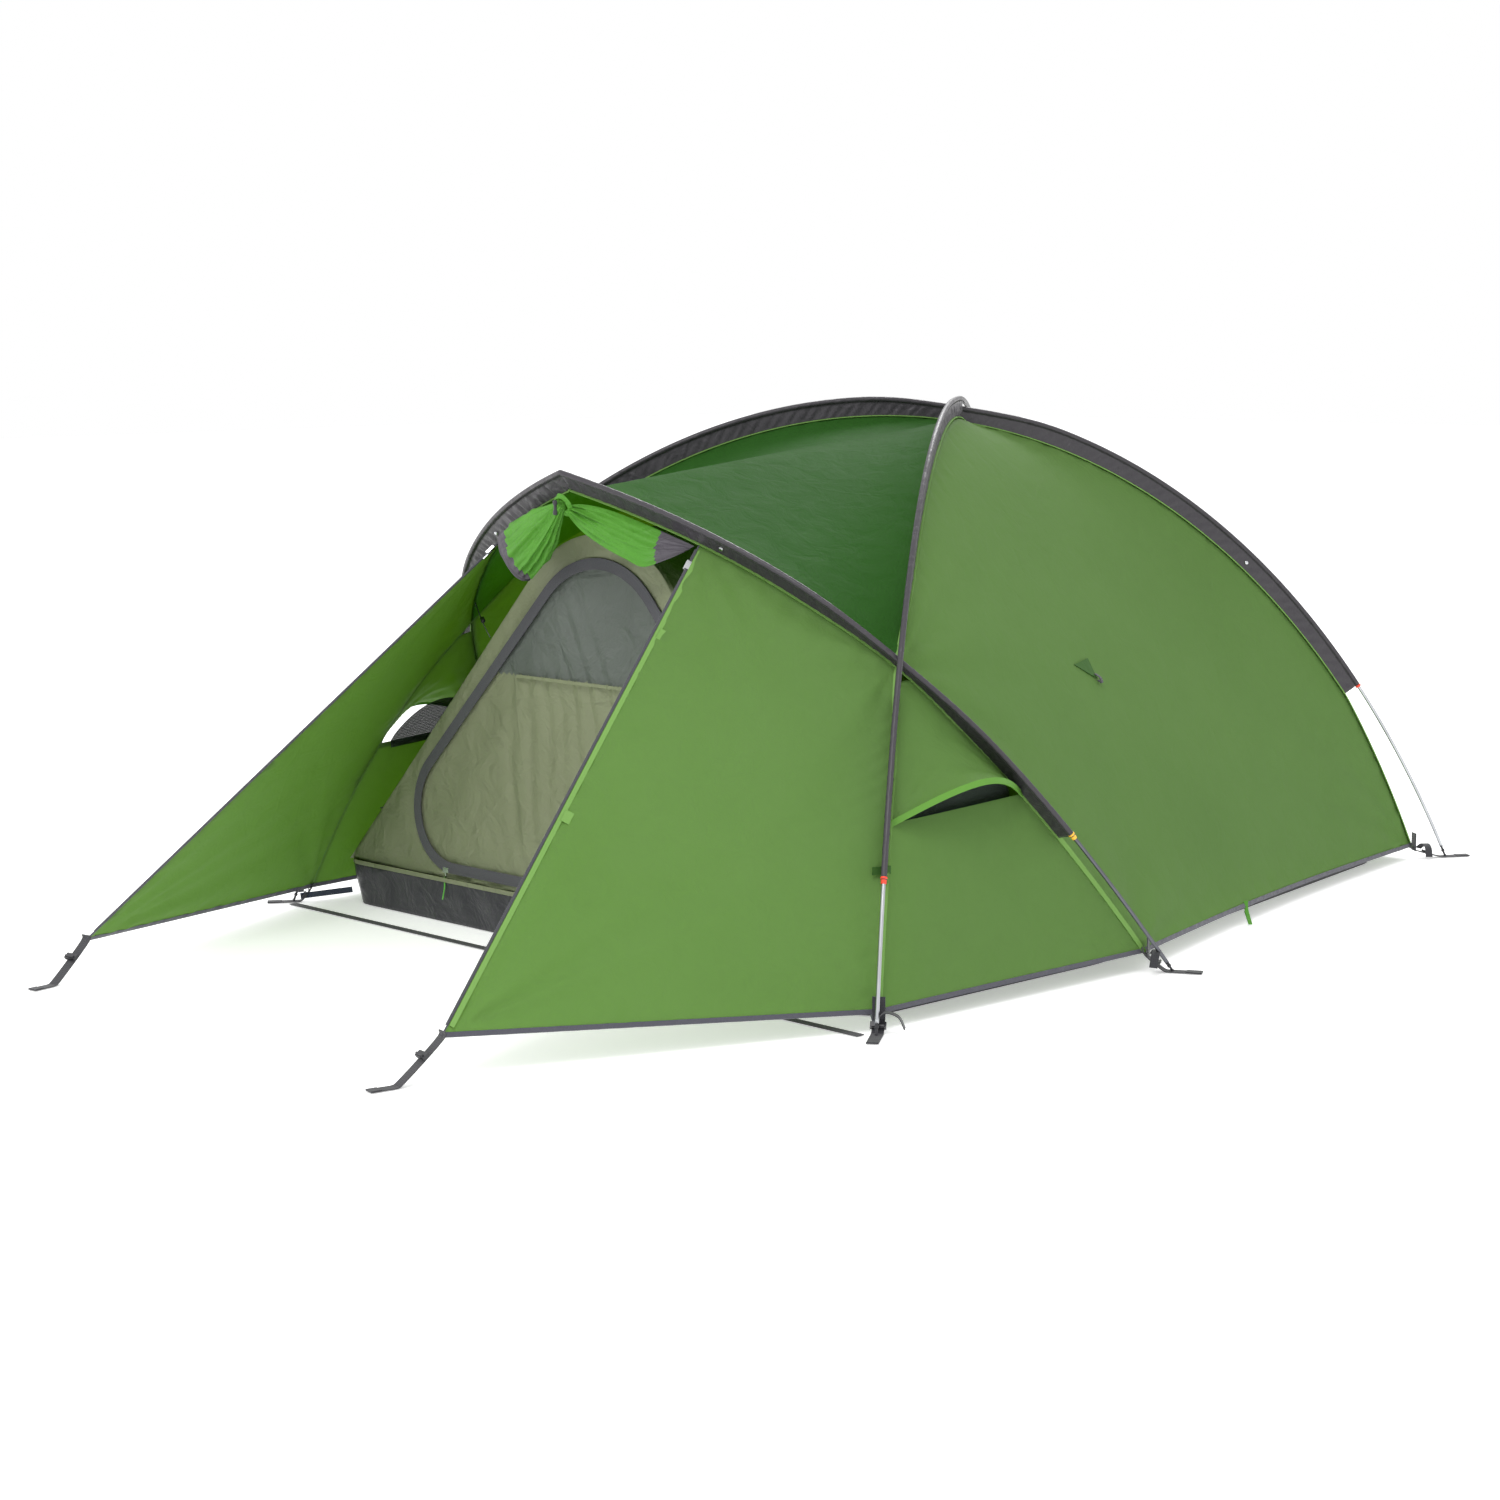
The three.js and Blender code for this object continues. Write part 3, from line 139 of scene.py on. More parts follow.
def smooth(t):
    t = np.clip(t, 0, 1)
    return t * t * (3 - 2 * t)


def dice(name):
    """A random source that is the same on every run for the same name."""
    return np.random.default_rng(sum((i + 1) * ord(c) for i, c in enumerate(name)))


def mesh_piece(name, points, faces, material, body=TENT, uv=None, flat=False):
    """A mesh in the tent's frame, with its material, that rides on a body."""
    mesh = bpy.data.meshes.new(name)
    mesh.from_pydata([tuple(map(float, p)) for p in points], [], [tuple(map(int, f)) for f in faces])
    mesh.validate()
    if uv is not None:
        layer = mesh.uv_layers.new(name="cloth")
        corners = np.zeros(len(mesh.loops), int)
        mesh.loops.foreach_get("vertex_index", corners)
        layer.data.foreach_set("uv", np.asarray(uv, np.float32)[corners].ravel())
    mesh.polygons.foreach_set("use_smooth", [not flat] * len(mesh.polygons))
    mesh.materials.append(material)
    piece = bpy.data.objects.new(name, mesh)
    bpy.context.scene.collection.objects.link(piece)
    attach(piece, body)
    return piece


def thicken(piece, thickness, offset=-1.0):
    wall = piece.modifiers.new("cloth", "SOLIDIFY")
    wall.thickness = thickness
    wall.offset = offset
    return piece


def grid_faces(cols, rows, closed=False):
    """Quads of a grid of points stored column by column; closed joins the last row to the first."""
    faces = []
    around = rows if closed else rows - 1
    for i in range(cols - 1):
        for j in range(around):
            k = (j + 1) % rows
            faces.append((i * rows + j, (i + 1) * rows + j, (i + 1) * rows + k, i * rows + k))
    return faces


def waves(rng, at, low, high, parts=4):
    """A sum of sines along a length, with wavelengths between low and high."""
    total = np.zeros_like(at)
    for _ in range(parts):
        length = rng.uniform(low, high)
        total = total + np.sin(2 * np.pi * at / length + rng.uniform(0, 7))
    return total / parts ** 0.5


# ---------- Poles' lines and the seams under them ----------

def bezier(points, t):
    a, b, c, d = points
    t = t[:, None]
    return a * (1 - t) ** 3 + 3 * b * (1 - t) ** 2 * t + 3 * c * (1 - t) * t**2 + d * t**3


class Rod:
    """A pole's line, the way out from the tent along it, and the seam that its sleeve is sewn to."""

    def __init__(self, line, normal, stand):
        self.t = np.linspace(0, 1, len(line))
        self.base = line
        self.along = unit(np.gradient(line, axis=0))
        self.out = unit(np.cross(normal, self.along))
        if self.out[len(line) // 2, 2] < 0:
            self.out = -self.out
        self.pole = line.copy()
        self.seam = line - self.out * stand(self.t)[:, None]
        self.notch = np.ones(len(line))
        self.length = float(np.linalg.norm(np.diff(line, axis=0), axis=1).sum())

    def pick(self, track, t):
        t = np.asarray(t, float)
        return np.stack([np.interp(t, self.t, track[:, k]) for k in range(3)], -1)

    def find(self, values, wanted, low, high):
        """Where a measure that rises or falls between low and high reaches a value."""
        span = (self.t >= low) & (self.t <= high)
        at, v = self.t[span], values[span]
        return float(np.interp(wanted, v, at) if v[-1] > v[0] else np.interp(wanted, v[::-1], at[::-1]))

    def bump(self, t):
        run = np.linalg.norm(self.base - self.pick(self.base, t), axis=1)
        return np.where(run < CROSSING_SPREAD, np.cos(np.pi / 2 * run / CROSSING_SPREAD) ** 2, 0)

    def lift(self, t, height):
        self.pole = self.pole + self.out * (self.bump(t) * height)[:, None]

    def shift_seam(self, t, by):
        self.seam = self.seam + self.bump(t)[:, None] * by

    def cut_notch(self, t):
        run = np.linalg.norm(self.base - self.pick(self.base, t), axis=1)
        self.notch = np.minimum(self.notch, np.clip((run - NOTCH_HALF) / NOTCH_RUN, 0, 1))

    def mirror(self):
        other = Rod.__new__(Rod)
        other.__dict__ = dict(self.__dict__)
        for track in ("base", "along", "out", "pole", "seam"):
            setattr(other, track, getattr(self, track) * MIRROR)
        other.notch = self.notch.copy()
        return other


def dome_stand(t):
    front = lerp(STAND_FRONT, STAND_MIDDLE, np.clip(t / 0.2, 0, 1))
    return lerp(front, STAND_REAR, np.clip((t - 0.9) / 0.1, 0, 1))


def dome_rod():
    front, rear = np.array([*FRONT_FOOT, 0]), np.array([-REAR_FOOT[0], REAR_FOOT[1], 0])
    ahead = unit(rear - front)
    aside = np.array([ahead[1], -ahead[0], 0])
    run, up, bow = DOME_FRONT_LEAD
    lead = front + ahead * run + UP * up + aside * bow
    run, up, bow = DOME_REAR_LEAD
    trail = rear - ahead * run + UP * up + aside * bow
    line = bezier((front, lead, trail, rear), np.linspace(0, 1, 2401))
    return Rod(line, -aside, dome_stand)


def arch_rod():
    foot, top = np.array([*ARCH_FOOT, 0]), np.array([0, *BROW])
    rise = unit(top - np.array([0, ARCH_PLUMB_Y, 0]))
    normal = np.cross((1, 0, 0), rise)
    inward, up, bow = ARCH_FOOT_LEAD
    lead = foot + np.array([inward, 0, 0]) + rise * up + normal * bow
    outward, up, bow = ARCH_BROW_LEAD
    trail = top + np.array([outward, 0, 0]) + rise * up + normal * bow
    half = bezier((foot, lead, trail, top), np.linspace(0, 1, 1201))
    line = np.concatenate([half, half[-2::-1] * MIRROR])
    return Rod(line, normal, lambda t: np.full_like(t, STAND_ARCH))


def nearest_pass(a, b):
    """The places on two rods' lines, between 0.1 and 0.4, where they pass closest to each other."""
    ia, ib = (np.flatnonzero((r.t > 0.1) & (r.t < 0.4)) for r in (a, b))
    gap = np.linalg.norm(a.base[ia][:, None] - b.base[ib][None], axis=2)
    i, j = np.unravel_index(gap.argmin(), gap.shape)
    return a.t[ia[i]], b.t[ib[j]]


arch = arch_rod()
dome_a = dome_rod()
DOME_TOP = dome_a.find(dome_a.base[:, 0], 0, 0.2, 0.9)
DOME_SHOULDER, ARCH_SHOULDER = nearest_pass(dome_a, arch)
meet = lerp(dome_a.pick(dome_a.seam, DOME_SHOULDER), arch.pick(arch.seam, ARCH_SHOULDER), 0.5)
arch_shift = meet - arch.pick(arch.seam, ARCH_SHOULDER)
dome_a.shift_seam(DOME_SHOULDER, meet - dome_a.pick(dome_a.seam, DOME_SHOULDER))
arch.shift_seam(ARCH_SHOULDER, arch_shift)
arch.shift_seam(1 - ARCH_SHOULDER, arch_shift * MIRROR)
shoulder_gap = dome_a.pick(dome_a.base, DOME_SHOULDER) - arch.pick(arch.base, ARCH_SHOULDER)
for place in (ARCH_SHOULDER, 1 - ARCH_SHOULDER):
    arch.lift(place, shoulder_gap @ arch.pick(arch.out, ARCH_SHOULDER) - 2 * CROSSING_LIFT)
dome_a.cut_notch(DOME_SHOULDER)
dome_b = dome_a.mirror()
dome_a.lift(DOME_TOP, CROSSING_LIFT)
dome_b.lift(DOME_TOP, -CROSSING_LIFT)
dome_a.cut_notch(DOME_TOP)

SEAM_TOP = dome_a.find(dome_a.seam[:, 0], 0, 0.2, 0.9)
DOME_CLIPS = (dome_a.find(dome_a.base[:, 2], CLIP_FRONT, 0, 0.3),
              dome_a.find(dome_a.base[:, 2], CLIP_REAR, 0.7, 1))
ARCH_CLIP = arch.find(arch.base[:, 2], CLIP_ARCH, 0, 0.3)
DOME_HEM_FRONT = dome_a.find(dome_a.seam[:, 2], HEM_FRONT, 0, 0.2)
DOME_HEM_REAR = dome_a.find(dome_a.seam[:, 2], HEM_REAR, 0.8, 1)
ARCH_HEM = arch.find(arch.seam[:, 2], HEM_ARCH, 0, 0.2)
DOOR_TOP_AT = arch.find(arch.seam[:, 0], DOOR_TOP_X, ARCH_SHOULDER, 0.5)
VENT_FRONT_AT = dome_a.find(dome_a.seam[:, 2], VENT_FRONT, 0, 0.3)
VENT_REAR_AT = arch.find(arch.seam[:, 2], VENT_REAR, 0, 0.4)

front_corner = dome_a.pick(dome_a.seam, DOME_HEM_FRONT)
arch_corner = arch.pick(arch.seam, ARCH_HEM)
rear_corner = dome_a.pick(dome_a.seam, DOME_HEM_REAR) * MIRROR
door_top_corner = arch.pick(arch.seam, DOOR_TOP_AT)
vent_front = dome_a.pick(dome_a.seam, VENT_FRONT_AT)
vent_rear = arch.pick(arch.seam, VENT_REAR_AT)
vent_outward = unit(np.cross(vent_rear - vent_front, UP))


# ---------- Shader kit ----------

class Value:
    """A number on a socket. Arithmetic on it adds Math nodes."""

    def __init__(self, kit, socket):
        self.kit = kit
        self.socket = socket

    def math(self, operation, other=None, swap=False):
        pair = [self, other]
        if swap:
            pair.reverse()
        slots = {i: v for i, v in enumerate(pair) if v is not None}
        return self.kit.add("ShaderNodeMath", {"operation": operation}, slots)

    def __add__(self, other):
        return self.math("ADD", other)

    def __mul__(self, other):
        return self.math("MULTIPLY", other)

    def __sub__(self, other):
        return self.math("SUBTRACT", other)

    def __rsub__(self, other):
        return self.math("SUBTRACT", other, swap=True)

    def __truediv__(self, other):
        return self.math("DIVIDE", other)

    def __gt__(self, other):
        return self.math("GREATER_THAN", other)

    def __lt__(self, other):
        return self.math("LESS_THAN", other)

    __radd__ = __add__
    __rmul__ = __mul__

    def sin(self):
        return self.math("SINE")

    def clamped(self):
        return self.kit.add("ShaderNodeClamp", {}, {"Value": self})


class Kit:
    """A material's nodes."""

    def __init__(self, name):
        self.material = bpy.data.materials.new(name)
        self.material.use_nodes = True
        self.tree = self.material.node_tree
        self.tree.nodes.clear()

    def add(self, kind, settings=None, sockets=None, output=0):
        node = self.tree.nodes.new(kind)
        for key, value in (settings or {}).items():
            if key == "stops":
                self._stops(node.color_ramp, value)
            else:
                setattr(node, key, value)
        for key, value in (sockets or {}).items():
            if isinstance(value, Value):
                self.tree.links.new(value.socket, node.inputs[key])
            else:
                node.inputs[key].default_value = value
        return Value(self, node.outputs[output])

    def _stops(self, ramp, stops):
        while len(ramp.elements) < len(stops):
            ramp.elements.new(0.5)
        for element, (place, grey) in zip(ramp.elements, stops):
            element.position = place
            element.color = (grey, grey, grey, 1)

    def place(self):
        return self.add("ShaderNodeTexCoord", output="Object")

    def cloth_place(self):
        return self.add("ShaderNodeTexCoord", output="UV")

    def noise(self, where, scale, detail=3.0, rough=0.5, warp=0.0):
        return self.add("ShaderNodeTexNoise", {}, {"Vector": where, "Scale": scale, "Detail": detail,
                        "Roughness": rough, "Distortion": warp})

    def cells(self, where, scale):
        settings = {"feature": "DISTANCE_TO_EDGE"}
        return self.add("ShaderNodeTexVoronoi", settings, {"Vector": where, "Scale": scale})

    def lines(self, where, per_metre, direction):
        settings = {"wave_type": "BANDS", "bands_direction": direction}
        return self.add("ShaderNodeTexWave", settings, {"Vector": where, "Scale": per_metre / 3.1416 / 2})

    def blend(self, share, first, second):
        sockets = {0: share, 6: first, 7: second}
        return self.add("ShaderNodeMix", {"data_type": "RGBA"}, sockets, output=2)

    def bump(self, height, distance, strength=1.0, after=None):
        sockets = {"Height": height, "Distance": distance, "Strength": strength}
        if after:
            sockets["Normal"] = after
        return self.add("ShaderNodeBump", {}, sockets)

    def surface(self, **sockets):
        named = {key.replace("_", " "): value for key, value in sockets.items()}
        return self.add("ShaderNodeBsdfPrincipled", {}, named)

    def finish(self, shader):
        self.add_output(shader)
        return self.material

    def add_output(self, shader):
        node = self.tree.nodes.new("ShaderNodeOutputMaterial")
        self.tree.links.new(shader.socket, node.inputs["Surface"])


def colour(hex_code, gain=1.0):
    """A linear colour from a screen colour."""
    parts = [int(hex_code[i:i + 2], 16) / 255 for i in (0, 2, 4)]
    linear = [c / 12.92 if c <= 0.04045 else ((c + 0.055) / 1.055) ** 2.4 for c in parts]
    return (*[min(1.0, c * gain) for c in linear], 1)


def cloth(name, tint, shade, see_through=0.0, glow=None, crease=1.0, rough=0.6, sheen=0.0,
          weave=900, coat=0.0, shine=0.22):
    """Coated polyester: a plain weave, soft crumples, packing creases and some light through it."""
    kit = Kit(name)
    where = kit.place()
    thread = kit.cloth_place()
    drift = kit.noise(where, 2.2, 2.0)
    crumple = kit.noise(where, 16.0, 4.0, 0.55, 0.6)
    packed = kit.cells(where, 5.0)
    crease_line = 1 - kit.add("ShaderNodeMapRange", {}, {"Value": packed, "From Max": 0.03})
    weave_lines = kit.lines(thread, weave, "X") + kit.lines(thread, weave, "Y")
    tone = (drift * 0.9 + crumple * 0.3 - 0.1).clamped()
    base = kit.blend(tone, tint, shade)
    soft = kit.bump(crumple, 0.010 * crease, 0.5)
    folded = kit.bump(crease_line, 0.0012 * crease, 0.25, soft)
    normal = kit.bump(weave_lines, 0.00012, 0.4, folded)
    body = kit.surface(Base_Color=base, Roughness=(crumple * 0.12 + (rough - 0.06)), Normal=normal,
                       Sheen_Weight=sheen, Sheen_Roughness=0.45, Coat_Weight=coat,
                       Coat_Roughness=0.3, Specular_IOR_Level=shine)
    if see_through:
        through = kit.add("ShaderNodeBsdfTranslucent", {}, {"Color": glow or tint, "Normal": normal})
        body = kit.add("ShaderNodeMixShader", {}, {0: see_through, 1: body, 2: through})
    return kit.finish(body)


def webbing_cloth(name, tint, shade, pitch=420):
    kit = Kit(name)
    thread = kit.cloth_place()
    weave = kit.lines(thread, pitch, "X") * kit.lines(thread, pitch, "Y")
    fuzz = kit.noise(kit.place(), 240.0, 3.0)
    normal = kit.bump(weave + fuzz * 0.4, 0.0006, 0.7)
    base = kit.blend((weave * 0.7 + fuzz * 0.3).clamped(), tint, shade)
    return kit.finish(kit.surface(Base_Color=base, Roughness=fuzz * 0.1 + 0.72, Normal=normal,
                                  Sheen_Weight=0.25))


def netting(name, tint, mesh_per_metre=520):
    """Fine insect netting: threads with open cells between them."""
    kit = Kit(name)
    thread = kit.cloth_place()
    across = kit.lines(thread, mesh_per_metre, "X")
    along = kit.lines(thread, mesh_per_metre, "Y")
    threads = ((across > 0.62) + (along > 0.62)).clamped()
    return kit.finish(kit.surface(Base_Color=tint, Roughness=0.8, Alpha=threads * 0.35 + 0.6,
                                  Normal=kit.bump(threads, 0.0002, 0.5)))


def metal(name, tint, rough, streak=0.5):
    kit = Kit(name)
    where = kit.place()
    wear = kit.noise(where, 90.0, 4.0)
    scuff = kit.noise(where, 14.0, 3.0)
    normal = kit.bump(wear, 0.00015, 0.3)
    base = kit.blend((scuff * 0.8 - 0.15).clamped(), tint, tuple(c * streak for c in tint[:3]) + (1,))
    return kit.finish(kit.surface(Base_Color=base, Metallic=1.0, Roughness=wear * 0.15 + rough,
                                  Normal=normal))


def plastic(name, tint, rough=0.4):
    kit = Kit(name)
    where = kit.place()
    grain = kit.noise(where, 700.0, 2.0)
    handle = kit.noise(where, 40.0, 3.0)
    lighter = tuple(min(1, c * 1.35 + 0.01) for c in tint[:3]) + (1,)
    base = kit.blend((handle * 0.6).clamped(), tint, lighter)
    return kit.finish(kit.surface(Base_Color=base, Roughness=handle * 0.15 + rough,
                                  Normal=kit.bump(grain, 0.0001, 0.25)))


def pale_floor():
    kit = Kit("studio_floor")
    return kit.finish(kit.surface(Base_Color=(0.93, 0.93, 0.93, 1), Roughness=0.9,
                                  Emission_Color=(1, 1, 1, 1), Emission_Strength=0.40))


GREEN = cloth("side_cloth", colour("6F9252"), colour("648748"), 0.38, colour("A4CE3C"), 0.8, shine=0.12)
# The roof is the sides' fabric; its darker green is painted shade for the roof's darker look under this light.
ROOF_PAINTED_SHADE = cloth("roof_cloth_painted_shade", colour("36642A"), colour("2C571F"), 0.34, colour("90CC22"), 0.8, shine=0.06)
BRIGHT = cloth("door_cloth", colour("66A83F"), colour("4A8A30"), 0.25, colour("9FD84A"), 1.8, 0.42)
SLEEVE = cloth("sleeve_cloth", colour("454246"), colour("37353A"), 0.0, None, 1.6, 0.36, 0.0, 900, 0.2)
FLAP = cloth("storm_flap_cloth", colour("5A565C"), colour("47444B"), 0.0, None, 2.0, 0.45)
KHAKI = cloth("inner_cloth", colour("9EA486"), colour("888F72"), 0.35, colour("C4CAA0"), 2.6, 0.42)
GAUZE = cloth("gauze_cloth", colour("818881"), colour("666D68"), 0.40, colour("A9B09A"), 2.6, 0.34)
TUB = cloth("groundsheet_cloth", colour("303035"), colour("25252A"), 0.0, None, 1.8, 0.36, 0.0, 900, 0.2)
# The brim band is the hood's fabric; its more vivid green is a painted highlight for the lit inner flap.
BRIM_PAINTED_HIGHLIGHT = cloth("vent_brim_painted_highlight", colour("6FA347"), colour("64983E"), 0.25, colour("8FD03A"), 0.5)
PALE_SEAM = cloth("seam_cloth", colour("7AA456"), colour("6E984B"), 0.1, colour("9FD46A"), 0.5)
PATCH = cloth("patch_cloth", colour("3C6328"), colour("335723"), 0.1, colour("8FC41F"), 0.8)
BINDING = webbing_cloth("hem_binding", colour("4A4A54"), colour("36363F"), 700)
WEB = webbing_cloth("black_webbing", colour("2E2E33"), colour("1F1F24"))
NAVY = webbing_cloth("navy_webbing", colour("2C3448"), colour("1F2638"))
ZIP = webbing_cloth("zip_coil", colour("46464C"), colour("2C2C32"), 900)
CORD_GREEN = webbing_cloth("green_cord", colour("5FC23A"), colour("459A2C"), 1400)
CORD_BLACK = webbing_cloth("black_cord", colour("2A2A2E"), colour("1C1C20"), 1400)
NET = netting("insect_net", colour("26302A"))
ALLOY = metal("anodised_tube", colour("C9CBCF"), 0.24)
DARK_ALLOY = metal("dark_tube", colour("6B6C72"), 0.3)
PULL_METAL = metal("zip_pull_metal", colour("D5D7DA"), 0.18)
BLACK_PLASTIC = plastic("black_acetal", colour("26262A"), 0.32)
RED_PLASTIC = plastic("red_end_cap", colour("E23F28"), 0.35)
YELLOW_PLASTIC = plastic("yellow_end_cap", colour("F0B030"), 0.35)


# ---------- Stretched panels ----------

class Panel:
    """A patch of cloth between four edges, settled as taut cloth, with ways to pucker it."""

    def __init__(self, name, bottom, right, top, left, cols=72, rows=72, pinned=None, rounds=2600):
        self.name = name
        self.rng = dice(name)
        u, v = np.linspace(0, 1, cols + 1), np.linspace(0, 1, rows + 1)
        b, t, l, r = bottom(u), top(u), left(v), right(v)
        uu, vv = u[:, None, None], v[None, :, None]
        ruled = lerp(b[:, None], t[:, None], vv) + lerp(l[None], r[None], uu)
        corners = lerp(lerp(b[0], b[-1], uu), lerp(t[0], t[-1], uu), vv)
        self.points = ruled - corners
        self._settle(rounds, None)
        if pinned is not None:
            plain = self.points.copy()
            self._settle(rounds, pinned)
            self.points = plain + self._blurred(self.points - plain, 5)
        self.measure()

    def _settle(self, rounds, pinned):
        p = self.points
        for _ in range(rounds):
            p[1:-1, 1:-1] = (p[:-2, 1:-1] + p[2:, 1:-1] + p[1:-1, :-2] + p[1:-1, 2:]) / 4
            if pinned is not None:
                pinned(p)

    def _blurred(self, field, rounds):
        for _ in range(rounds * 4):
            field[1:-1, 1:-1] = (field[1:-1, 1:-1] * 4 + field[:-2, 1:-1] + field[2:, 1:-1]
                                 + field[1:-1, :-2] + field[1:-1, 2:]) / 8
        return field

    def measure(self):
        """Lengths along the grid, distances to the edges, and normals that face out of the tent."""
        p = self.points
        du = np.linalg.norm(np.diff(p, axis=0), axis=2)
        dv = np.linalg.norm(np.diff(p, axis=1), axis=2)
        zero_u, zero_v = np.zeros((1, p.shape[1])), np.zeros((p.shape[0], 1))
        self.run_u = np.concatenate([zero_u, np.cumsum(du, axis=0)])
        self.run_v = np.concatenate([zero_v, np.cumsum(dv, axis=1)], axis=1)
        self.from_left, self.from_right = self.run_u, self.run_u[-1:] - self.run_u
        self.from_bottom, self.from_top = self.run_v, self.run_v[:, -1:] - self.run_v
        normal = unit(np.cross(np.gradient(p, axis=0), np.gradient(p, axis=1)))
        middle = tuple(n // 2 for n in p.shape[:2])
        if (normal[middle] * (p[middle] - np.array([0, -0.3, 0.15]))).sum() < 0:
            normal = -normal
        self.normal = normal

    def push(self, height):
        self.points = self.points + self.normal * height[..., None]

    def edge_mask(self, margin=0.02):
        nearest = np.minimum(np.minimum(self.from_left, self.from_right),
                             np.minimum(self.from_bottom, self.from_top))
        return smooth(nearest / margin)

    def pucker(self, edge, height, reach=0.05, low=0.035, high=0.09):
        """Small gathers that stand along a sewn edge and die out into the panel."""
        away, at = {
            "left": (self.from_left, self.run_v),
            "right": (self.from_right, self.run_v),
            "bottom": (self.from_bottom, self.run_u),
            "top": (self.from_top, self.run_u),
        }[edge]
        slant = at + away * self.rng.uniform(-0.6, 0.6)
        self.push(height * waves(self.rng, slant, low, high) * np.exp(-away / reach)
                  * self.edge_mask(0.015))

    def fan(self, corner, height, reach=0.4, count=9):
        """Folds that spread out of a corner where the cloth is pulled."""
        a = {"l": self.from_left, "r": self.from_right}[corner[1]]
        b = {"b": self.from_bottom, "t": self.from_top}[corner[0]]
        away = np.hypot(a, b)
        turn = np.arctan2(b, a)
        ridge = waves(self.rng, turn, np.pi / count, 2.2 * np.pi / count, 3)
        self.push(height * ridge * np.exp(-away / reach) * smooth(away / 0.10) * self.edge_mask(0.04))

    def build(self, material, slot, node, flat, area=None, held="stretched", thickness=0.0012,
              body=TENT):
        cols, rows = self.points.shape[:2]
        faces = grid_faces(cols, rows)
        flip = self._turned_in()
        if flip:
            faces = [f[::-1] for f in faces]
        uv = np.stack([self.run_u, self.run_v], -1).reshape(-1, 2)
        piece = mesh_piece(self.name, self.points.reshape(-1, 3), faces, material, body, uv)
        thicken(piece, thickness)
        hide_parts(node)
        return piece

    def _turned_in(self):
        p = self.points
        i, j = p.shape[0] // 2, p.shape[1] // 2
        face = np.cross(p[i + 1, j] - p[i, j], p[i, j + 1] - p[i, j])
        return (face * self.normal[i, j]).sum() < 0

    def area(self):
        p = self.points
        a = np.cross(p[1:, :-1] - p[:-1, :-1], p[:-1, 1:] - p[:-1, :-1])
        b = np.cross(p[1:, 1:] - p[1:, :-1], p[:-1, 1:] - p[1:, 1:])
        return float((np.linalg.norm(a, axis=2).sum() + np.linalg.norm(b, axis=2).sum()) / 2)


def along(rod, start, end, side=1):
    mirror = np.array([side, 1, 1])
    return lambda s: rod.pick(rod.seam, lerp(start, end, s)) * mirror


def straight(a, b, side=1):
    mirror = np.array([side, 1, 1])
    return lambda s: lerp(a, b, np.asarray(s)[:, None]) * mirror


def flat_size(panel):
    """The rectangle that a panel is cut from, and the cut's own area."""
    width = float(panel.run_u[-1].max())
    length = float(panel.run_v[:, -1].max())
    area = panel.area()
    return (width, length), min(area, width * length)


def make_panel(panel, material, slot, node, **more):
    size, area = flat_size(panel)
    return panel.build(material, slot, node, size, area, **more)


def roof_ridge(p):
    n = p.shape[0] - 1
    share = np.arange(1, n) / n
    start, end = p[0, n], p[n, 0]
    line = lerp(start, end, share[:, None])
    line[:, 2] += 0.012 * np.sin(np.pi * share)
    rows = n - np.arange(1, n)
    p[np.arange(1, n), rows] = line


def make_roof():
    half = lambda s: arch.pick(arch.seam, lerp(0.5, 1 - ARCH_SHOULDER, s))
    far = lambda s: dome_b.pick(dome_b.seam, lerp(SEAM_TOP, DOME_SHOULDER, s))
    panel = Panel("fly_roof", along(arch, ARCH_SHOULDER, 0.5), half, far,
                  along(dome_a, DOME_SHOULDER, SEAM_TOP), pinned=roof_ridge, rounds=1800)
    for edge in ("bottom", "right", "left", "top"):
        panel.pucker(edge, 0.0018, 0.05)
    panel.fan("tl", 0.003, 0.4)
    panel.fan("br", 0.003, 0.4)
    # The roof takes the darker copy of the fly's green: painted shade.
    return make_panel(panel, ROOF_PAINTED_SHADE, "roof_fabric", "fly_roof_front")


def side_hem(s):
    p = lerp(arch_corner, rear_corner, s[:, None])
    p[:, 0] -= SIDE_HEM_DIP * np.sin(np.pi * s)
    return p


def make_side(name, side):
    mirror = np.array([side, 1, 1])
    panel = Panel(f"fly_side_panel_{name}", lambda s: side_hem(s) * mirror,
                  lambda s: dome_b.pick(dome_b.seam, lerp(DOME_HEM_REAR, SEAM_TOP, s)) * mirror,
                  along(dome_a, DOME_SHOULDER, SEAM_TOP, side), along(arch, ARCH_HEM, ARCH_SHOULDER, side),
                  cols=96, rows=84, rounds=3200)
    panel.pucker("right", 0.0020, 0.07)
    panel.pucker("top", 0.0020, 0.06)
    panel.pucker("left", 0.0020, 0.07)
    panel.pucker("bottom", 0.0020, 0.07)
    for corner in ("br", "bl", "tl"):
        panel.fan(corner, 0.0045, 0.5)
    return make_panel(panel, GREEN, "side_fabric", f"fly_side_{name}"), panel


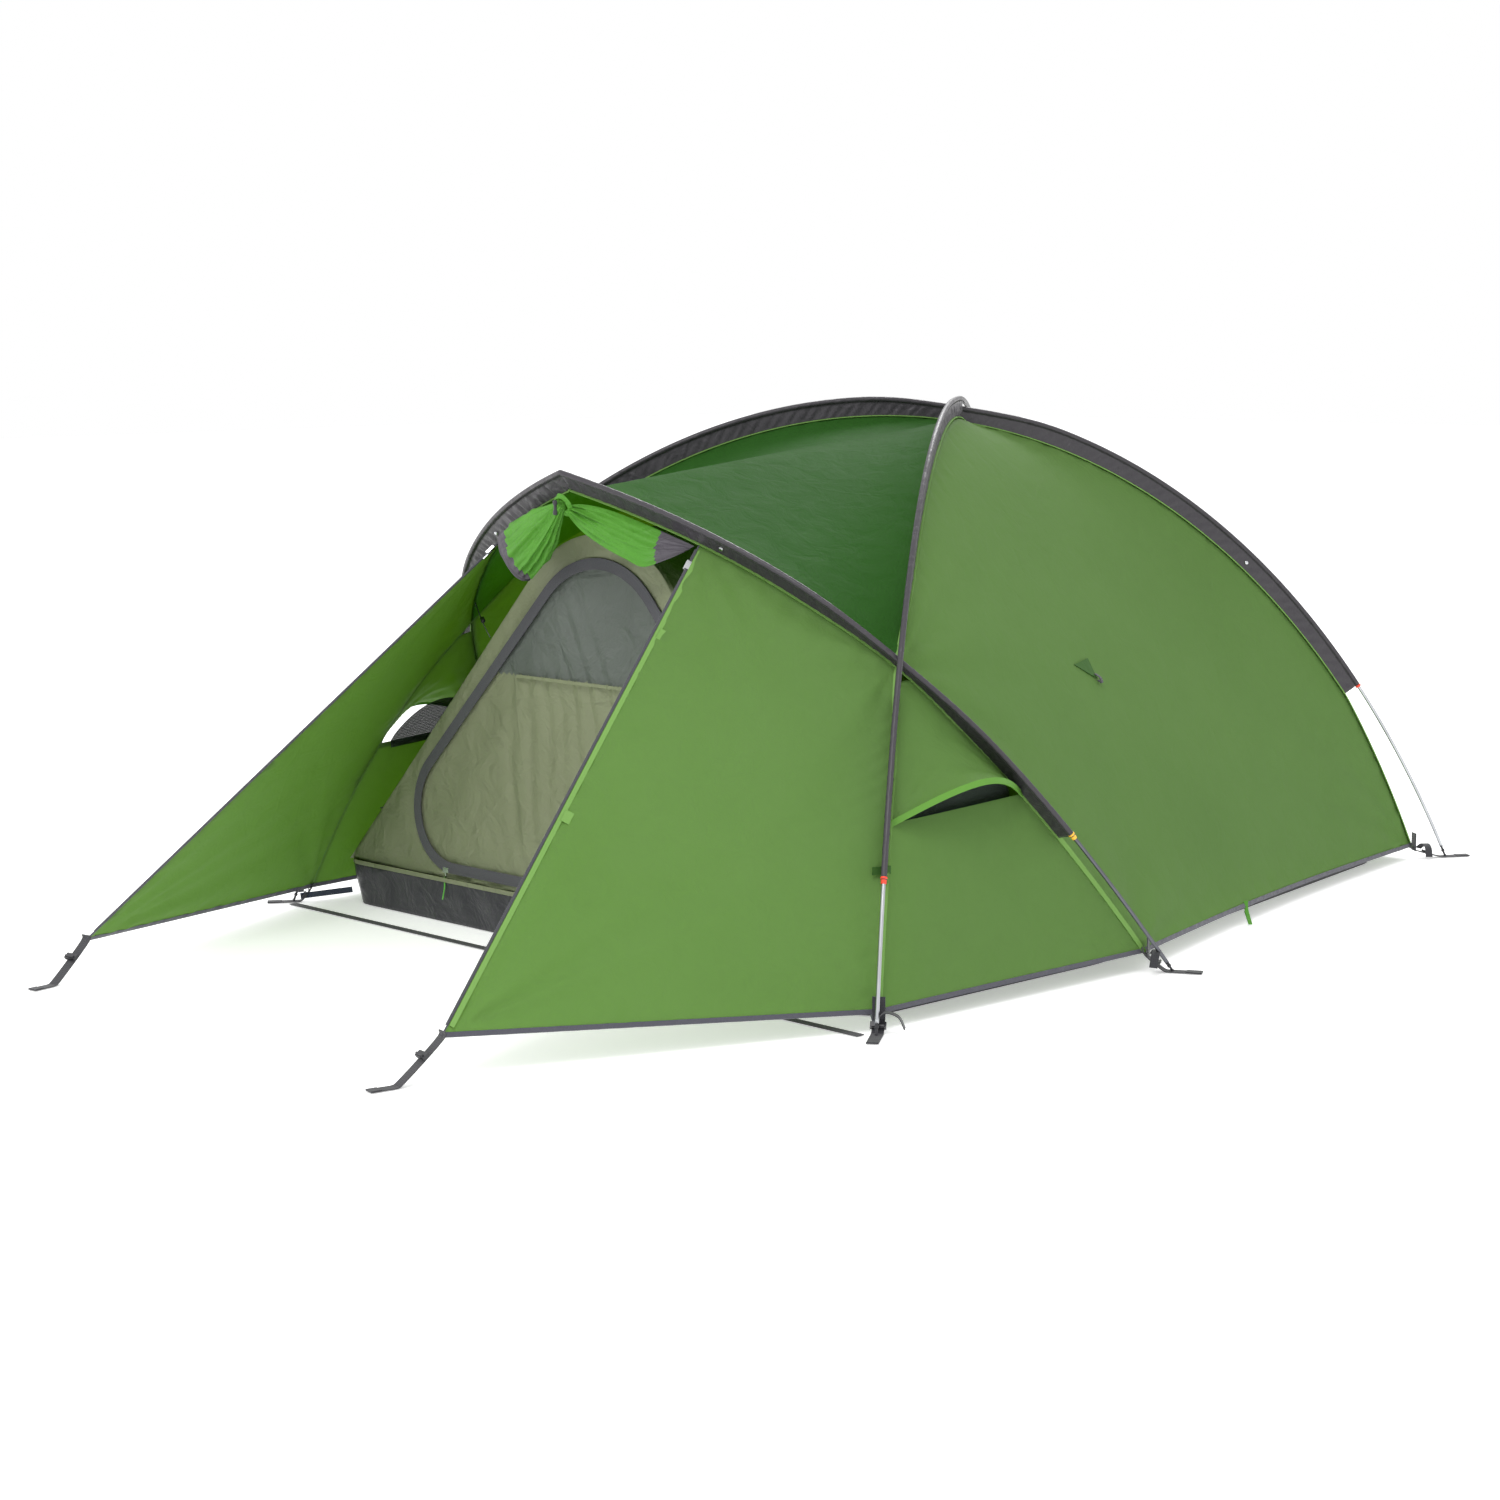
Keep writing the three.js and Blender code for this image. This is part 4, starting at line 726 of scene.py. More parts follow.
def make_rear():
    def hem(s):
        p = lerp(rear_corner, rear_corner * MIRROR, s[:, None])
        p[:, 1] -= SIDE_HEM_DIP * np.sin(np.pi * s)
        return p
    tip = SEAM_TOP + 0.05 / dome_a.length
    edge_right = lambda s: dome_b.pick(dome_b.seam, lerp(DOME_HEM_REAR, tip, s))
    edge_left = lambda s: dome_a.pick(dome_a.seam, lerp(DOME_HEM_REAR, tip, s))
    ends = [edge(np.array([1.0]))[0] for edge in (edge_right, edge_left)]
    panel = Panel("fly_rear_panel", hem, edge_left, straight(*ends), edge_right)
    for edge in ("left", "right"):
        panel.pucker(edge, 0.0012, 0.05)
    panel.fan("br", 0.003)
    panel.fan("bl", 0.003)
    return make_panel(panel, GREEN, "side_fabric", "fly_rear_wall"), panel


def brim_edge(s):
    lift = np.sin(np.pi * s)[:, None]
    return lerp(vent_front, vent_rear, s[:, None]) + vent_outward * BRIM_OUT * lift + UP * BRIM_UP * lift


def make_vent(name, side):
    mirror = np.array([side, 1, 1])
    dome_tip = DOME_SHOULDER - 0.045 / dome_a.length
    arch_tip = ARCH_SHOULDER - 0.045 / arch.length
    tips = dome_a.pick(dome_a.seam, dome_tip), arch.pick(arch.seam, arch_tip)
    hood = Panel(f"vent_hood_panel_{name}", lambda s: brim_edge(s) * mirror,
                 along(arch, VENT_REAR_AT, arch_tip, side), straight(*tips, side),
                 along(dome_a, VENT_FRONT_AT, dome_tip, side), cols=48, rows=48)
    hood.pucker("bottom", 0.0014, 0.05)
    hood.fan("bl", 0.003, 0.2)
    hood.fan("br", 0.003, 0.2)
    made = [make_panel(hood, GREEN, "side_fabric", f"vent_hood_{name}")]
    lower = Panel(f"fly_lower_panel_{name}", straight(front_corner, arch_corner, side),
                  along(arch, ARCH_HEM, VENT_REAR_AT, side), straight(vent_front, vent_rear, side),
                  along(dome_a, DOME_HEM_FRONT, VENT_FRONT_AT, side), cols=64, rows=48)
    lower.pucker("bottom", 0.001, 0.04)
    lower.fan("bl", 0.0025, 0.25)
    lower.fan("br", 0.0025, 0.25)
    made.append(make_panel(lower, GREEN, "side_fabric", f"fly_lower_{name}"))
    # The brim band's vivid green is a painted highlight.
    rim = strip(f"vent_brim_{name}", brim_edge(np.linspace(0, 1, 41)) * mirror,
                -UP * 1.0 + vent_outward * mirror * 0.25, 0.013, 0.003, BRIM_PAINTED_HIGHLIGHT)
    return made, hood, lower, rim


def make_porch(name, side):
    panel = Panel(f"fly_porch_panel_{name}", straight(PORCH_CORNER, front_corner, side),
                  along(dome_a, DOME_HEM_FRONT, DOME_SHOULDER, side),
                  along(arch, DOOR_TOP_AT, ARCH_SHOULDER, side),
                  straight(PORCH_CORNER, door_top_corner, side), cols=84, rows=84)
    panel.pucker("left", 0.0016, 0.05)
    panel.pucker("right", 0.0022, 0.07)
    panel.pucker("bottom", 0.0016, 0.05)
    panel.pucker("top", 0.0018, 0.06)
    panel.fan("bl", 0.0040, 0.6, 11)
    panel.fan("br", 0.0035, 0.4)
    panel.fan("tl", 0.0040, 0.4)
    panel.fan("tr", 0.0035, 0.4)
    return make_panel(panel, GREEN, "side_fabric", f"fly_porch_{name}"), panel


# ---------- Ribbons, tubes and seams ----------

def strip(name, line, across, width, thickness, material, body=TENT):
    """A flat ribbon along a line: across is the way its width runs, per point or for all."""
    line = np.asarray(line, float)
    across = np.broadcast_to(np.asarray(across, float), line.shape)
    ahead = unit(np.gradient(line, axis=0))
    across = unit(across - ahead * (across * ahead).sum(1, keepdims=True))
    up = np.cross(across, ahead)
    half, lift = width / 2, thickness / 2
    section = [(-half, -lift), (half, -lift), (half, lift), (-half, lift)]
    points = np.stack([line + across * a + up * b for a, b in section], axis=1)
    n = len(line)
    faces = grid_faces(n, 4, closed=True)
    faces += [(3, 2, 1, 0), tuple((n - 1) * 4 + k for k in range(4))]
    run = np.concatenate([[0], np.cumsum(np.linalg.norm(np.diff(line, axis=0), axis=1))])
    uv = np.stack([np.repeat(run, 4), np.tile([0, width, width, 0], n)], -1)
    piece = mesh_piece(name, points.reshape(-1, 3), faces, material, body, uv, flat=True)
    fix_normals(piece)
    return piece


def fix_normals(piece):
    work = bmesh.new()
    work.from_mesh(piece.data)
    bmesh.ops.recalc_face_normals(work, faces=work.faces)
    work.to_mesh(piece.data)
    work.free()


def tube(name, line, radius, material, sides=16, body=TENT):
    """A round rod along a line, closed at both ends. radius is one number or one per point."""
    line = np.asarray(line, float)
    ahead = unit(np.gradient(line, axis=0))
    guide = UP if abs(ahead[0] @ UP) < 0.8 else np.array([1.0, 0, 0])
    side = unit(guide - ahead[0] * (ahead[0] @ guide))
    sides_at = []
    for direction in ahead:
        side = unit(side - direction * (direction @ side))
        sides_at.append(side)
    across = np.array(sides_at)
    up = np.cross(ahead, across)
    turn = np.linspace(0, 2 * np.pi, sides, endpoint=False)
    radius = np.broadcast_to(radius, len(line))[:, None, None]
    ring = np.cos(turn)[None, :, None] * across[:, None] + np.sin(turn)[None, :, None] * up[:, None]
    points = line[:, None] + ring * radius
    n = len(line)
    faces = grid_faces(n, sides, closed=True)
    faces += [tuple(range(sides))[::-1], tuple((n - 1) * sides + k for k in range(sides))]
    run = np.concatenate([[0], np.cumsum(np.linalg.norm(np.diff(line, axis=0), axis=1))])
    uv = np.stack([np.repeat(run, sides), np.tile(turn * float(radius.flat[0]), n)], -1)
    piece = mesh_piece(name, points.reshape(-1, 3), faces, material, body, uv)
    fix_normals(piece)
    return piece


def curve_through(points, steps=10):
    """A smooth line through points."""
    p = np.asarray(points, float)
    padded = np.concatenate([[2 * p[0] - p[1]], p, [2 * p[-1] - p[-2]]])
    out = []
    for k in range(1, len(padded) - 2):
        a, b, c, d = padded[k - 1:k + 3]
        for t in np.linspace(0, 1, steps, endpoint=False):
            out.append(0.5 * (2 * b + (c - a) * t + (2 * a - 5 * b + 4 * c - d) * t**2
                              + (3 * b - a - 3 * c + d) * t**3))
    out.append(p[-1])
    return np.array(out)


def hem_binding(name, panel, edge, material=BINDING, width=0.010):
    """Tape folded over an edge of a panel."""
    p, normal = panel.points, panel.normal
    if edge == "bottom":
        line, inward, out = p[:, 0], p[:, 1] - p[:, 0], normal[:, 0]
    elif edge == "left":
        line, inward, out = p[0], p[1] - p[0], normal[0]
    else:
        line, inward, out = p[:, -1], p[:, -2] - p[:, -1], normal[:, -1]
    inward = unit(inward)
    return strip(name, line + inward * width * 0.45 - out * 0.0006, inward, width, 0.0032, material)


def seam_tape(name, rod, start, end, material, width=0.011, side=1):
    """The flat-felled seam where panels meet under a sleeve."""
    t = np.linspace(start, end, 120)
    line = (rod.pick(rod.seam, t) + rod.pick(rod.out, t) * 0.0012) * np.array([side, 1, 1])
    ahead = unit(np.gradient(line, axis=0))
    out = rod.pick(rod.out, t) * np.array([side, 1, 1])
    return strip(name, line, np.cross(ahead, out), width, 0.0024, material)


# ---------- Sleeves ----------

def make_sleeve(name, rod, start, end, node, slant, gather=0.0028):
    """Cloth folded over a pole, with its two layers gathered down to the seam."""
    rng = dice(name)
    count = int(rod.length * (end - start) / 0.007)
    t = np.linspace(start, end, count)
    pole, seam, ahead = rod.pick(rod.pole, t), rod.pick(rod.seam, t), rod.pick(rod.along, t)
    down = seam - pole
    down -= ahead * (down * ahead).sum(1, keepdims=True)
    depth = np.linalg.norm(down, axis=1)
    down = unit(down)
    side = np.cross(ahead, down)
    fin = np.interp(t, rod.t, rod.notch)
    depth = lerp(SLEEVE_RADIUS + 0.002, depth, fin)
    run = t * rod.length
    half, levels = 0.0011, 10
    turns = np.linspace(0.28, 2 * np.pi - 0.28, 19)
    place = []
    for k in range(levels):
        share = k / levels
        place.append((share, "rise"))
    section = []
    top = SLEEVE_RADIUS * math.cos(0.28)
    for share, _ in place:
        level = lerp(depth, top, share)
        section.append((np.full(count, half), level, np.sin(np.pi * np.clip(share * 1.05, 0, 1))))
    for a in turns:
        section.append((np.full(count, SLEEVE_RADIUS * math.sin(a)),
                        np.full(count, SLEEVE_RADIUS * math.cos(a)), 0.12))
    for share, _ in reversed(place):
        level = lerp(depth, top, share)
        section.append((np.full(count, -half), level, np.sin(np.pi * np.clip(share * 1.05, 0, 1))))
    shapes = [rng.uniform(0, 7) for _ in range(3)]
    columns = []
    for a, b, loose in section:
        phase = run + slant * b
        fold = (np.sin(2 * np.pi * phase / 0.034 + shapes[0] + 1.5 * np.sin(run * 9))
                + 0.8 * np.sin(2 * np.pi * phase / 0.021 + shapes[1] + 2 * np.sin(run * 5))
                + 0.6 * np.sin(2 * np.pi * run / 0.011 + shapes[2])) / 2
        sway = gather * loose * fold * fin
        columns.append(pole + side * (a + sway)[:, None] + down * b[:, None])
    points = np.stack(columns, axis=1)
    rows = points.shape[1]
    faces = grid_faces(count, rows)
    around = np.concatenate([[0], np.cumsum(np.linalg.norm(np.diff(points[count // 2], axis=0), axis=1))])
    uv = np.stack([np.repeat(run, rows), np.tile(around, count)], -1)
    piece = mesh_piece(f"{name}_cloth", points.reshape(-1, 3), faces, SLEEVE, TENT, uv)
    thicken(piece, 0.0006, 0.0)
    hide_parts(node)
    girth = float(np.mean(2 * depth) + SLEEVE_RADIUS * 4)
    return piece


def pole_tube(name, rod, start, end, node, material):
    t = np.linspace(start, end, 60)
    piece = tube(name, rod.pick(rod.pole, t), POLE_RADIUS, material, 20)
    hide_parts(node)
    return piece


def end_cap(name, rod, t, material):
    """The coloured cap where a pole goes into its sleeve."""
    ahead = rod.pick(rod.along, t)
    centre = rod.pick(rod.pole, t)
    shape = [(-0.0085, 0.0048), (-0.0072, 0.0058), (0.0015, 0.0060), (0.0028, 0.0072),
             (0.0052, 0.0073), (0.0062, 0.0066)]
    line = np.array([centre + ahead * a for a, _ in shape])
    return tube(name, line, np.array([r for _, r in shape]), material, 24)


def make_rods():
    first, last = DOME_CLIPS
    joint = 0.45 / dome_a.length
    foot = 0.022 / dome_a.length
    for letter, rod in (("a", dome_a), ("b", dome_b)):
        slant = 0.9 if letter == "b" else 0.4
        make_sleeve(f"sleeve_{letter}", rod, first, last, f"sleeve_{letter}", slant)
        pole_tube(f"dome_tube_{letter}_front", rod, foot, joint, f"dome_pole_{letter}_first_end", ALLOY)
        pole_tube(f"dome_tube_{letter}_rear", rod, 1 - joint, 1 - foot,
                  f"dome_pole_{letter}_second_end", ALLOY)
        for end, t in (("front", first), ("rear", last)):
            end_cap(f"pole_cap_{letter}_{end}", rod, t, RED_PLASTIC)
        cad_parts[f"dome_pole_{letter}_middle"].data.materials.clear()
        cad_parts[f"dome_pole_{letter}_middle"].data.materials.append(ALLOY)
    make_sleeve("porch_sleeve", arch, ARCH_CLIP, 1 - ARCH_CLIP, "porch_sleeve", 0.3)
    joint = 0.45 / arch.length
    pole_tube("porch_tube_right", arch, 0.022 / arch.length, joint, "porch_pole_first_end", DARK_ALLOY)
    pole_tube("porch_tube_left", arch, 1 - joint, 1 - 0.022 / arch.length, "porch_pole_second_end",
              DARK_ALLOY)
    end_cap("porch_cap_right", arch, ARCH_CLIP, YELLOW_PLASTIC)
    end_cap("porch_cap_left", arch, 1 - ARCH_CLIP, YELLOW_PLASTIC)


def make_seams():
    for name, side in SIDES:
        seam_tape(f"seam_dome_front_{name}", dome_a, DOME_HEM_FRONT, DOME_SHOULDER, PALE_SEAM, side=side)
        seam_tape(f"seam_dome_roof_{name}", dome_a, DOME_SHOULDER, SEAM_TOP, PALE_SEAM, side=side)
        seam_tape(f"seam_dome_rear_{name}", dome_a, SEAM_TOP, DOME_HEM_REAR, PALE_SEAM, side=side)
        seam_tape(f"seam_arch_{name}", arch, ARCH_HEM, 0.5, PALE_SEAM, side=side)


# ---------- Inner tent ----------

def lean_point(x, up):
    x, up = np.broadcast_arrays(np.asarray(x, float), np.asarray(up, float))
    return np.stack([x, WALL_FOOT_Y + up * math.sin(WALL_LEAN), up * math.cos(WALL_LEAN)], -1)


def tangent_turn(radius_top, radius_side, side_x, side_up):
    span_up = DOOR_TOP[0] - side_up
    lean = math.atan2(span_up, side_x)
    return lean + math.asin((radius_top - radius_side) / math.hypot(span_up, side_x)) + math.pi / 2


def arc(cx, cy, r, start, end, steps):
    a = np.linspace(start, end, steps)
    return np.stack([cx + r * np.cos(a), cy + r * np.sin(a)], -1)


def door_outline(grow):
    """The round-topped door's outline, anticlockwise from the middle of its sill."""
    x, up, r = DOOR_CORNER
    turn = tangent_turn(DOOR_TOP[1], r, x, up)
    r += grow
    right = arc(x, up, r, -math.pi / 2, math.pi - turn, 24)
    top = arc(0, DOOR_TOP[0], DOOR_TOP[1] + grow, math.pi - turn, turn, 30)
    left = arc(-x, up, r, turn, 1.5 * math.pi, 24)
    return resample(np.concatenate([[(0, up - r)], right, top, left, [(0, up - r)]]), 240)


def resample(line, count):
    run = np.concatenate([[0], np.cumsum(np.linalg.norm(np.diff(line, axis=0), axis=1))])
    at = np.linspace(0, run[-1], count)
    return np.stack([np.interp(at, run, line[:, k]) for k in range(line.shape[1])], -1)


WALL_FOOT_UP = (TUB_HEIGHT + 0.003) / math.cos(WALL_LEAN)
WALL_TOP_R = DOOR_TOP[1] + WALL_MARGIN
WALL_TURN = (math.atan2(WALL_FOOT_UP - DOOR_TOP[0], FLOOR[0][0])
             + math.acos(WALL_TOP_R / math.hypot(FLOOR[0][0], DOOR_TOP[0] - WALL_FOOT_UP)))


def wall_outline():
    x = FLOOR[0][0]
    top = arc(0, DOOR_TOP[0], WALL_TOP_R, WALL_TURN, math.pi - WALL_TURN, 60)
    return np.concatenate([[(0, WALL_FOOT_UP), (x, WALL_FOOT_UP)], top, [(-x, WALL_FOOT_UP),
                          (0, WALL_FOOT_UP)]])


def cast_out(loop, centre, turns):
    """Where rays from a point meet a closed outline, for each turn."""
    a, b = loop[:-1] - centre, loop[1:] - centre
    hits = []
    for turn in turns:
        d = np.array([math.cos(turn), math.sin(turn)])
        cross = a[:, 0] * d[1] - a[:, 1] * d[0]
        other = b[:, 0] * d[1] - b[:, 1] * d[0]
        edge = (cross <= 0) != (other <= 0)
        share = cross / np.where(edge, cross - other, 1)
        at = a + (b - a) * share[:, None]
        reach = np.where(edge, at @ d, -1)
        hits.append(reach.max())
    hits = np.array(hits)[:, None]
    return centre + hits * np.stack([np.cos(turns), np.sin(turns)], -1)


def inner_material_split(piece, below, above):
    """Faces above the gauze seam take the second material."""
    piece.data.materials.clear()
    piece.data.materials.append(below)
    piece.data.materials.append(above)
    for face in piece.data.polygons:
        face.material_index = 1 if face.center.z > GAUZE_UP else 0


def gathered(x, up, rng, height):
    """Soft upright folds of slack cloth."""
    lean = x + 0.3 * up + 0.03 * np.sin(9 * up + 3 * x)
    folds = np.abs(waves(rng, lean, 0.10, 0.26, 3)) - 0.6
    return height * (folds * 1.1 + waves(rng, x - 0.7 * up, 0.10, 0.3, 3))


def make_front_wall():
    rng = dice("inner_front")
    centre = np.array([0.0, 0.42])
    turns = np.linspace(-math.pi / 2, 1.5 * math.pi, 289)
    hole = cast_out(door_outline(0.008), centre, turns)
    rim = cast_out(wall_outline(), centre, turns)
    shares = np.linspace(0, 1, 13)
    flat = np.stack([lerp(hole, rim, s) for s in shares], axis=1)
    x, up = flat[..., 0], flat[..., 1]
    push = gathered(x, up, rng, 0.006) * np.sin(np.pi * shares)[None]
    points = lean_point(x, up)
    points[..., 1] -= push
    faces = [f[::-1] for f in grid_faces(len(turns), len(shares))]
    piece = mesh_piece("inner_front_cloth", points.reshape(-1, 3), faces, KHAKI, TENT,
                       flat.reshape(-1, 2))
    merge_close(piece)
    face_towards(piece, Vector((0, -1, 0)))
    thicken(piece, 0.0008)
    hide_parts("inner_front_wall")
    area = polygon_area(rim) - polygon_area(hole)


def polygon_area(loop):
    x, y = loop[:, 0], loop[:, 1]
    return abs(float((x * np.roll(y, 1) - y * np.roll(x, 1)).sum() / 2))


def merge_close(piece, distance=0.0004):
    work = bmesh.new()
    work.from_mesh(piece.data)
    bmesh.ops.remove_doubles(work, verts=work.verts, dist=distance)
    work.to_mesh(piece.data)
    work.free()


def face_towards(piece, direction):
    total = Vector((0, 0, 0))
    for face in piece.data.polygons:
        total += face.normal * face.area
    if total.dot(direction) < 0:
        piece.data.flip_normals()


def make_inner_door():
    rng = dice("inner_door")
    centre = np.array([0.0, 0.42])
    turns = np.linspace(-math.pi / 2, 1.5 * math.pi, 241)
    rim = cast_out(door_outline(0.0), centre, turns)
    shares = np.linspace(0, 1, 60)
    flat = np.stack([lerp(centre, rim, s) for s in shares], axis=1)
    x, up = flat[..., 0], flat[..., 1]
    points = lean_point(x, up)
    points[..., 1] += 0.004 - gathered(x, up, rng, 0.0045) * np.sin(np.pi * shares**0.7)[None]
    faces = grid_faces(len(turns), len(shares))
    piece = mesh_piece("inner_door_cloth", points.reshape(-1, 3), faces, KHAKI, "inner_door",
                       flat.reshape(-1, 2))
    merge_close(piece)
    face_towards(piece, Vector((0, -1, 0)))
    inner_material_split(piece, KHAKI, GAUZE)
    thicken(piece, 0.0008)
    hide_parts("inner_door")
    polygon_area(rim)


def outline_strip(name, loop, offset, width, thickness, material, body, out=0.0):
    """A band that follows the door's outline in the wall's plane."""
    line = lean_point(loop[:, 0], loop[:, 1])
    line[:, 1] -= out
    ahead = unit(np.gradient(line, axis=0))
    normal = np.array([0, -math.cos(WALL_LEAN), math.sin(WALL_LEAN)])
    across = np.cross(ahead, normal)
    return strip(name, line + across * offset, across, width, thickness, material, body)


def make_door_band():
    loop = door_outline(0.004)
    outline_strip("inner_zip_flap", loop, -0.012, 0.020, 0.002, ZIP, TENT, 0.004)
    outline_strip("inner_zip_coil", loop, 0.0, 0.007, 0.004, ZIP, TENT, 0.003)
    half = 0.262
    line = lean_point(np.linspace(-half, half, 60), np.full(60, GAUZE_UP)) - np.array([0, 0.005, 0])
    strip("gauze_seam", line, UP, 0.007, 0.002, KHAKI, "inner_door")


FOOT_Z = TUB_HEIGHT + 0.003
RIDGE_LINE = dome_b.base - dome_b.out * INNER_STAND
INNER_TOP = dome_b.find(RIDGE_LINE[:, 0], 0, 0.2, 0.9)
RIDGE_FOOT = dome_b.find(RIDGE_LINE[:, 2], FOOT_Z, 0.8, 1)
REAR_FLOOR = np.array([*FLOOR[2], FOOT_Z])


def rear_ridge(s):
    s = np.asarray(s, float)
    p = dome_b.pick(RIDGE_LINE, lerp(RIDGE_FOOT, INNER_TOP, s))
    ease = REAR_FLOOR - dome_b.pick(RIDGE_LINE, RIDGE_FOOT)
    return p + ((1 - s) ** 2)[:, None] * ease


def wall_edge(s):
    line = wall_outline()[1:]
    run = line[: np.argmax(line[:, 1]) + 1]
    at = resample(run, 400)
    k = np.asarray(s) * 399
    return lean_point(np.interp(k, range(400), at[:, 0]), np.interp(k, range(400), at[:, 1]))


def foot_line(s):
    corners = np.array([[*FLOOR[0], FOOT_Z], [*FLOOR[1], FOOT_Z], REAR_FLOOR])
    return np.stack([np.interp(s, [0, 1 / 3, 1], corners[:, k]) for k in range(3)], -1)


def ridge_line(s):
    ends = wall_edge(np.array([1.0]))[0], rear_ridge(np.array([1.0]))[0]
    p = lerp(ends[0], ends[1], s[:, None])
    p[:, 2] -= RIDGE_SAG * np.sin(np.pi * s)
    return p


def make_inner_shell():
    for name, side in SIDES:
        mirror = np.array([side, 1, 1])
        wrap = lambda edge, m=mirror: (lambda s: edge(s) * m)
        panel = Panel(f"inner_side_cloth_{name}", wrap(foot_line), wrap(rear_ridge), wrap(ridge_line),
                      wrap(wall_edge), cols=60, rows=60)
        panel.fan("br", 0.004, 0.4)
        panel.pucker("left", 0.002, 0.08)
        panel.pucker("bottom", 0.002, 0.06)
        make_panel(panel, KHAKI, "inner_fabric", f"inner_side_{name}", held="hung")
    edge = lambda s: rear_ridge(np.asarray(s) * 0.95)
    ends = edge(np.array([1.0]))[0]
    panel = Panel("inner_rear_cloth", straight(REAR_FLOOR, REAR_FLOOR * MIRROR),
                  lambda s: edge(s) * MIRROR, straight(ends, ends * MIRROR), edge, cols=48, rows=48)
    make_panel(panel, KHAKI, "inner_fabric", "inner_rear_wall", held="hung")


def make_bathtub():
    """The floor and its turned-up sides, in one sheet with rounded corners."""
    half = [np.array(p) for p in FLOOR]
    loop = np.array(half + [p * (-1, 1) for p in reversed(half)])
    centre = loop.mean(0)
    ring = []
    for k, p in enumerate(loop):
        before, after = loop[k - 1], loop[(k + 1) % len(loop)]
        for share in np.linspace(0, 1, 9):
            start, end = p + unit(before - p) * 0.05, p + unit(after - p) * 0.05
            ring.append(lerp(lerp(start, p, share), lerp(p, end, share), share))
    ring = resample(np.array(ring + ring[:1]), 361)[:-1]
    reach = np.linalg.norm(ring - centre, axis=1, keepdims=True)
    away = (ring - centre) / reach
    rng = dice("bathtub")
    around = np.arange(len(ring)) * 0.02
    profile = [(r, 0.0) for r in np.linspace(0.0, 1.0, 24)[:-1]]
    layers = [centre + away * (reach - 0.020) * r for r, _ in profile]
    heights = [np.zeros(len(ring))] * len(profile)
    slack = waves(rng, around, 0.05, 0.16, 4)
    for share in np.linspace(0, 1, 14):
        pull = 0.020 - 0.012 * smooth(share) - 0.006 * share
        sway = 0.0025 * slack * np.sin(np.pi * share)
        layers.append(centre + away * (reach - pull - 0.003 + sway[:, None]))
        heights.append(np.full(len(ring), TUB_HEIGHT * share))
    points = np.concatenate([np.stack([l, ], 0) for l in layers])
    points = np.concatenate([points, np.stack(heights)[..., None]], -1)
    points[..., 2] = np.maximum(points[..., 2], 0.0008)
    rows, n = points.shape[:2]
    faces = grid_faces(rows, n, closed=True)
    piece = mesh_piece("bathtub_cloth", points.reshape(-1, 3), faces, TUB, TENT,
                       points.reshape(-1, 3)[:, :2] + points.reshape(-1, 3)[:, 2:])
    merge_close(piece)
    thicken(piece, 0.0008, 0.0)
    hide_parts("bathtub_floor")
    perimeter = float(np.linalg.norm(np.diff(ring, axis=0), axis=1).sum())
    polygon_area(ring) + perimeter * TUB_HEIGHT
    top = np.concatenate([ring, ring[:1]])
    reach = np.linalg.norm(top - centre, axis=1, keepdims=True)
    line = np.concatenate([centre + (top - centre) * (reach - 0.004) / reach,
                           np.full((len(top), 1), TUB_HEIGHT)], -1)
    strip("bathtub_seam", line, UP, 0.010, 0.003, KHAKI)


# ---------- Rolled porch door ----------

def creases(rng, turn, drift, counts):
    """Sharp-edged folds round a turn, that wander with drift. Each value is from 0 to about 1."""
    total = 0
    for count in counts:
        wave = np.sin(count * turn / 2 + rng.uniform(0, 7) + drift * rng.uniform(-2.5, 2.5))
        total = total + (1 - np.abs(wave)) ** 1.5
    return total / len(counts)


def make_lobe():
    """The left half of the rolled door: a puffy bag whose folds run out from the tie."""
    rng = dice("door lobe")
    tie, tail = np.array([-0.014, -1.152, 0.998]), np.array([-0.212, -1.138, 0.868])
    n, sides = 90, 120
    share = np.linspace(0, 1, n)
    keys = (0, 0.12, 0.3, 0.55, 0.8, 0.93, 1)
    wide = np.interp(share, keys, (0.010, 0.024, 0.044, 0.058, 0.064, 0.062, 0.044))
    deep = np.interp(share, keys, (0.010, 0.017, 0.026, 0.034, 0.034, 0.030, 0.016))
    spine = lerp(tie, tail, share[:, None])
    spine[:, 2] -= 0.010 * np.sin(np.pi * share)
    ahead = unit(tail - tie)
    depth_way = np.array([0, -1.0, 0])
    up = unit(np.cross(depth_way, ahead))
    turn = np.linspace(0, 2 * np.pi, sides, endpoint=False)[None]
    run = share[:, None]
    fold = creases(rng, turn, run * 1.2, (8, 12, 18)) - 0.45
    wrap = creases(rng, run * 60, turn * 0.4, (2, 3)) - 0.45
    banded = smooth((run - 0.80) / 0.08)
    size = 1 + 0.50 * fold * (1 - banded) + 0.12 * wrap * banded + 0.06 * banded
    size = size + 0.03 * np.sin(9 * run + 2 * turn)
    a, b = np.cos(turn) * deep[:, None] * size, np.sin(turn) * wide[:, None] * size
    points = spine[:, None] + depth_way * a[..., None] + up * b[..., None]
    faces = grid_faces(n, sides, closed=True)
    faces += [tuple(range(sides))[::-1], tuple((n - 1) * sides + k for k in range(sides))]
    uv = np.stack([np.repeat(share * 0.24, sides), np.tile(turn[0] * 0.05, n)], -1)
    piece = mesh_piece("door_roll_left", points.reshape(-1, 3), faces, BRIGHT, TENT, uv)
    piece.data.materials.append(FLAP)
    reach = float(ahead @ (tail - tie))
    for face in piece.data.polygons:
        along_it = float(ahead @ (np.array(face.center) - tie)) / reach
        face.material_index = 1 if along_it > 0.82 else 0
    fix_normals(piece)
    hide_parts("porch_door_roll")


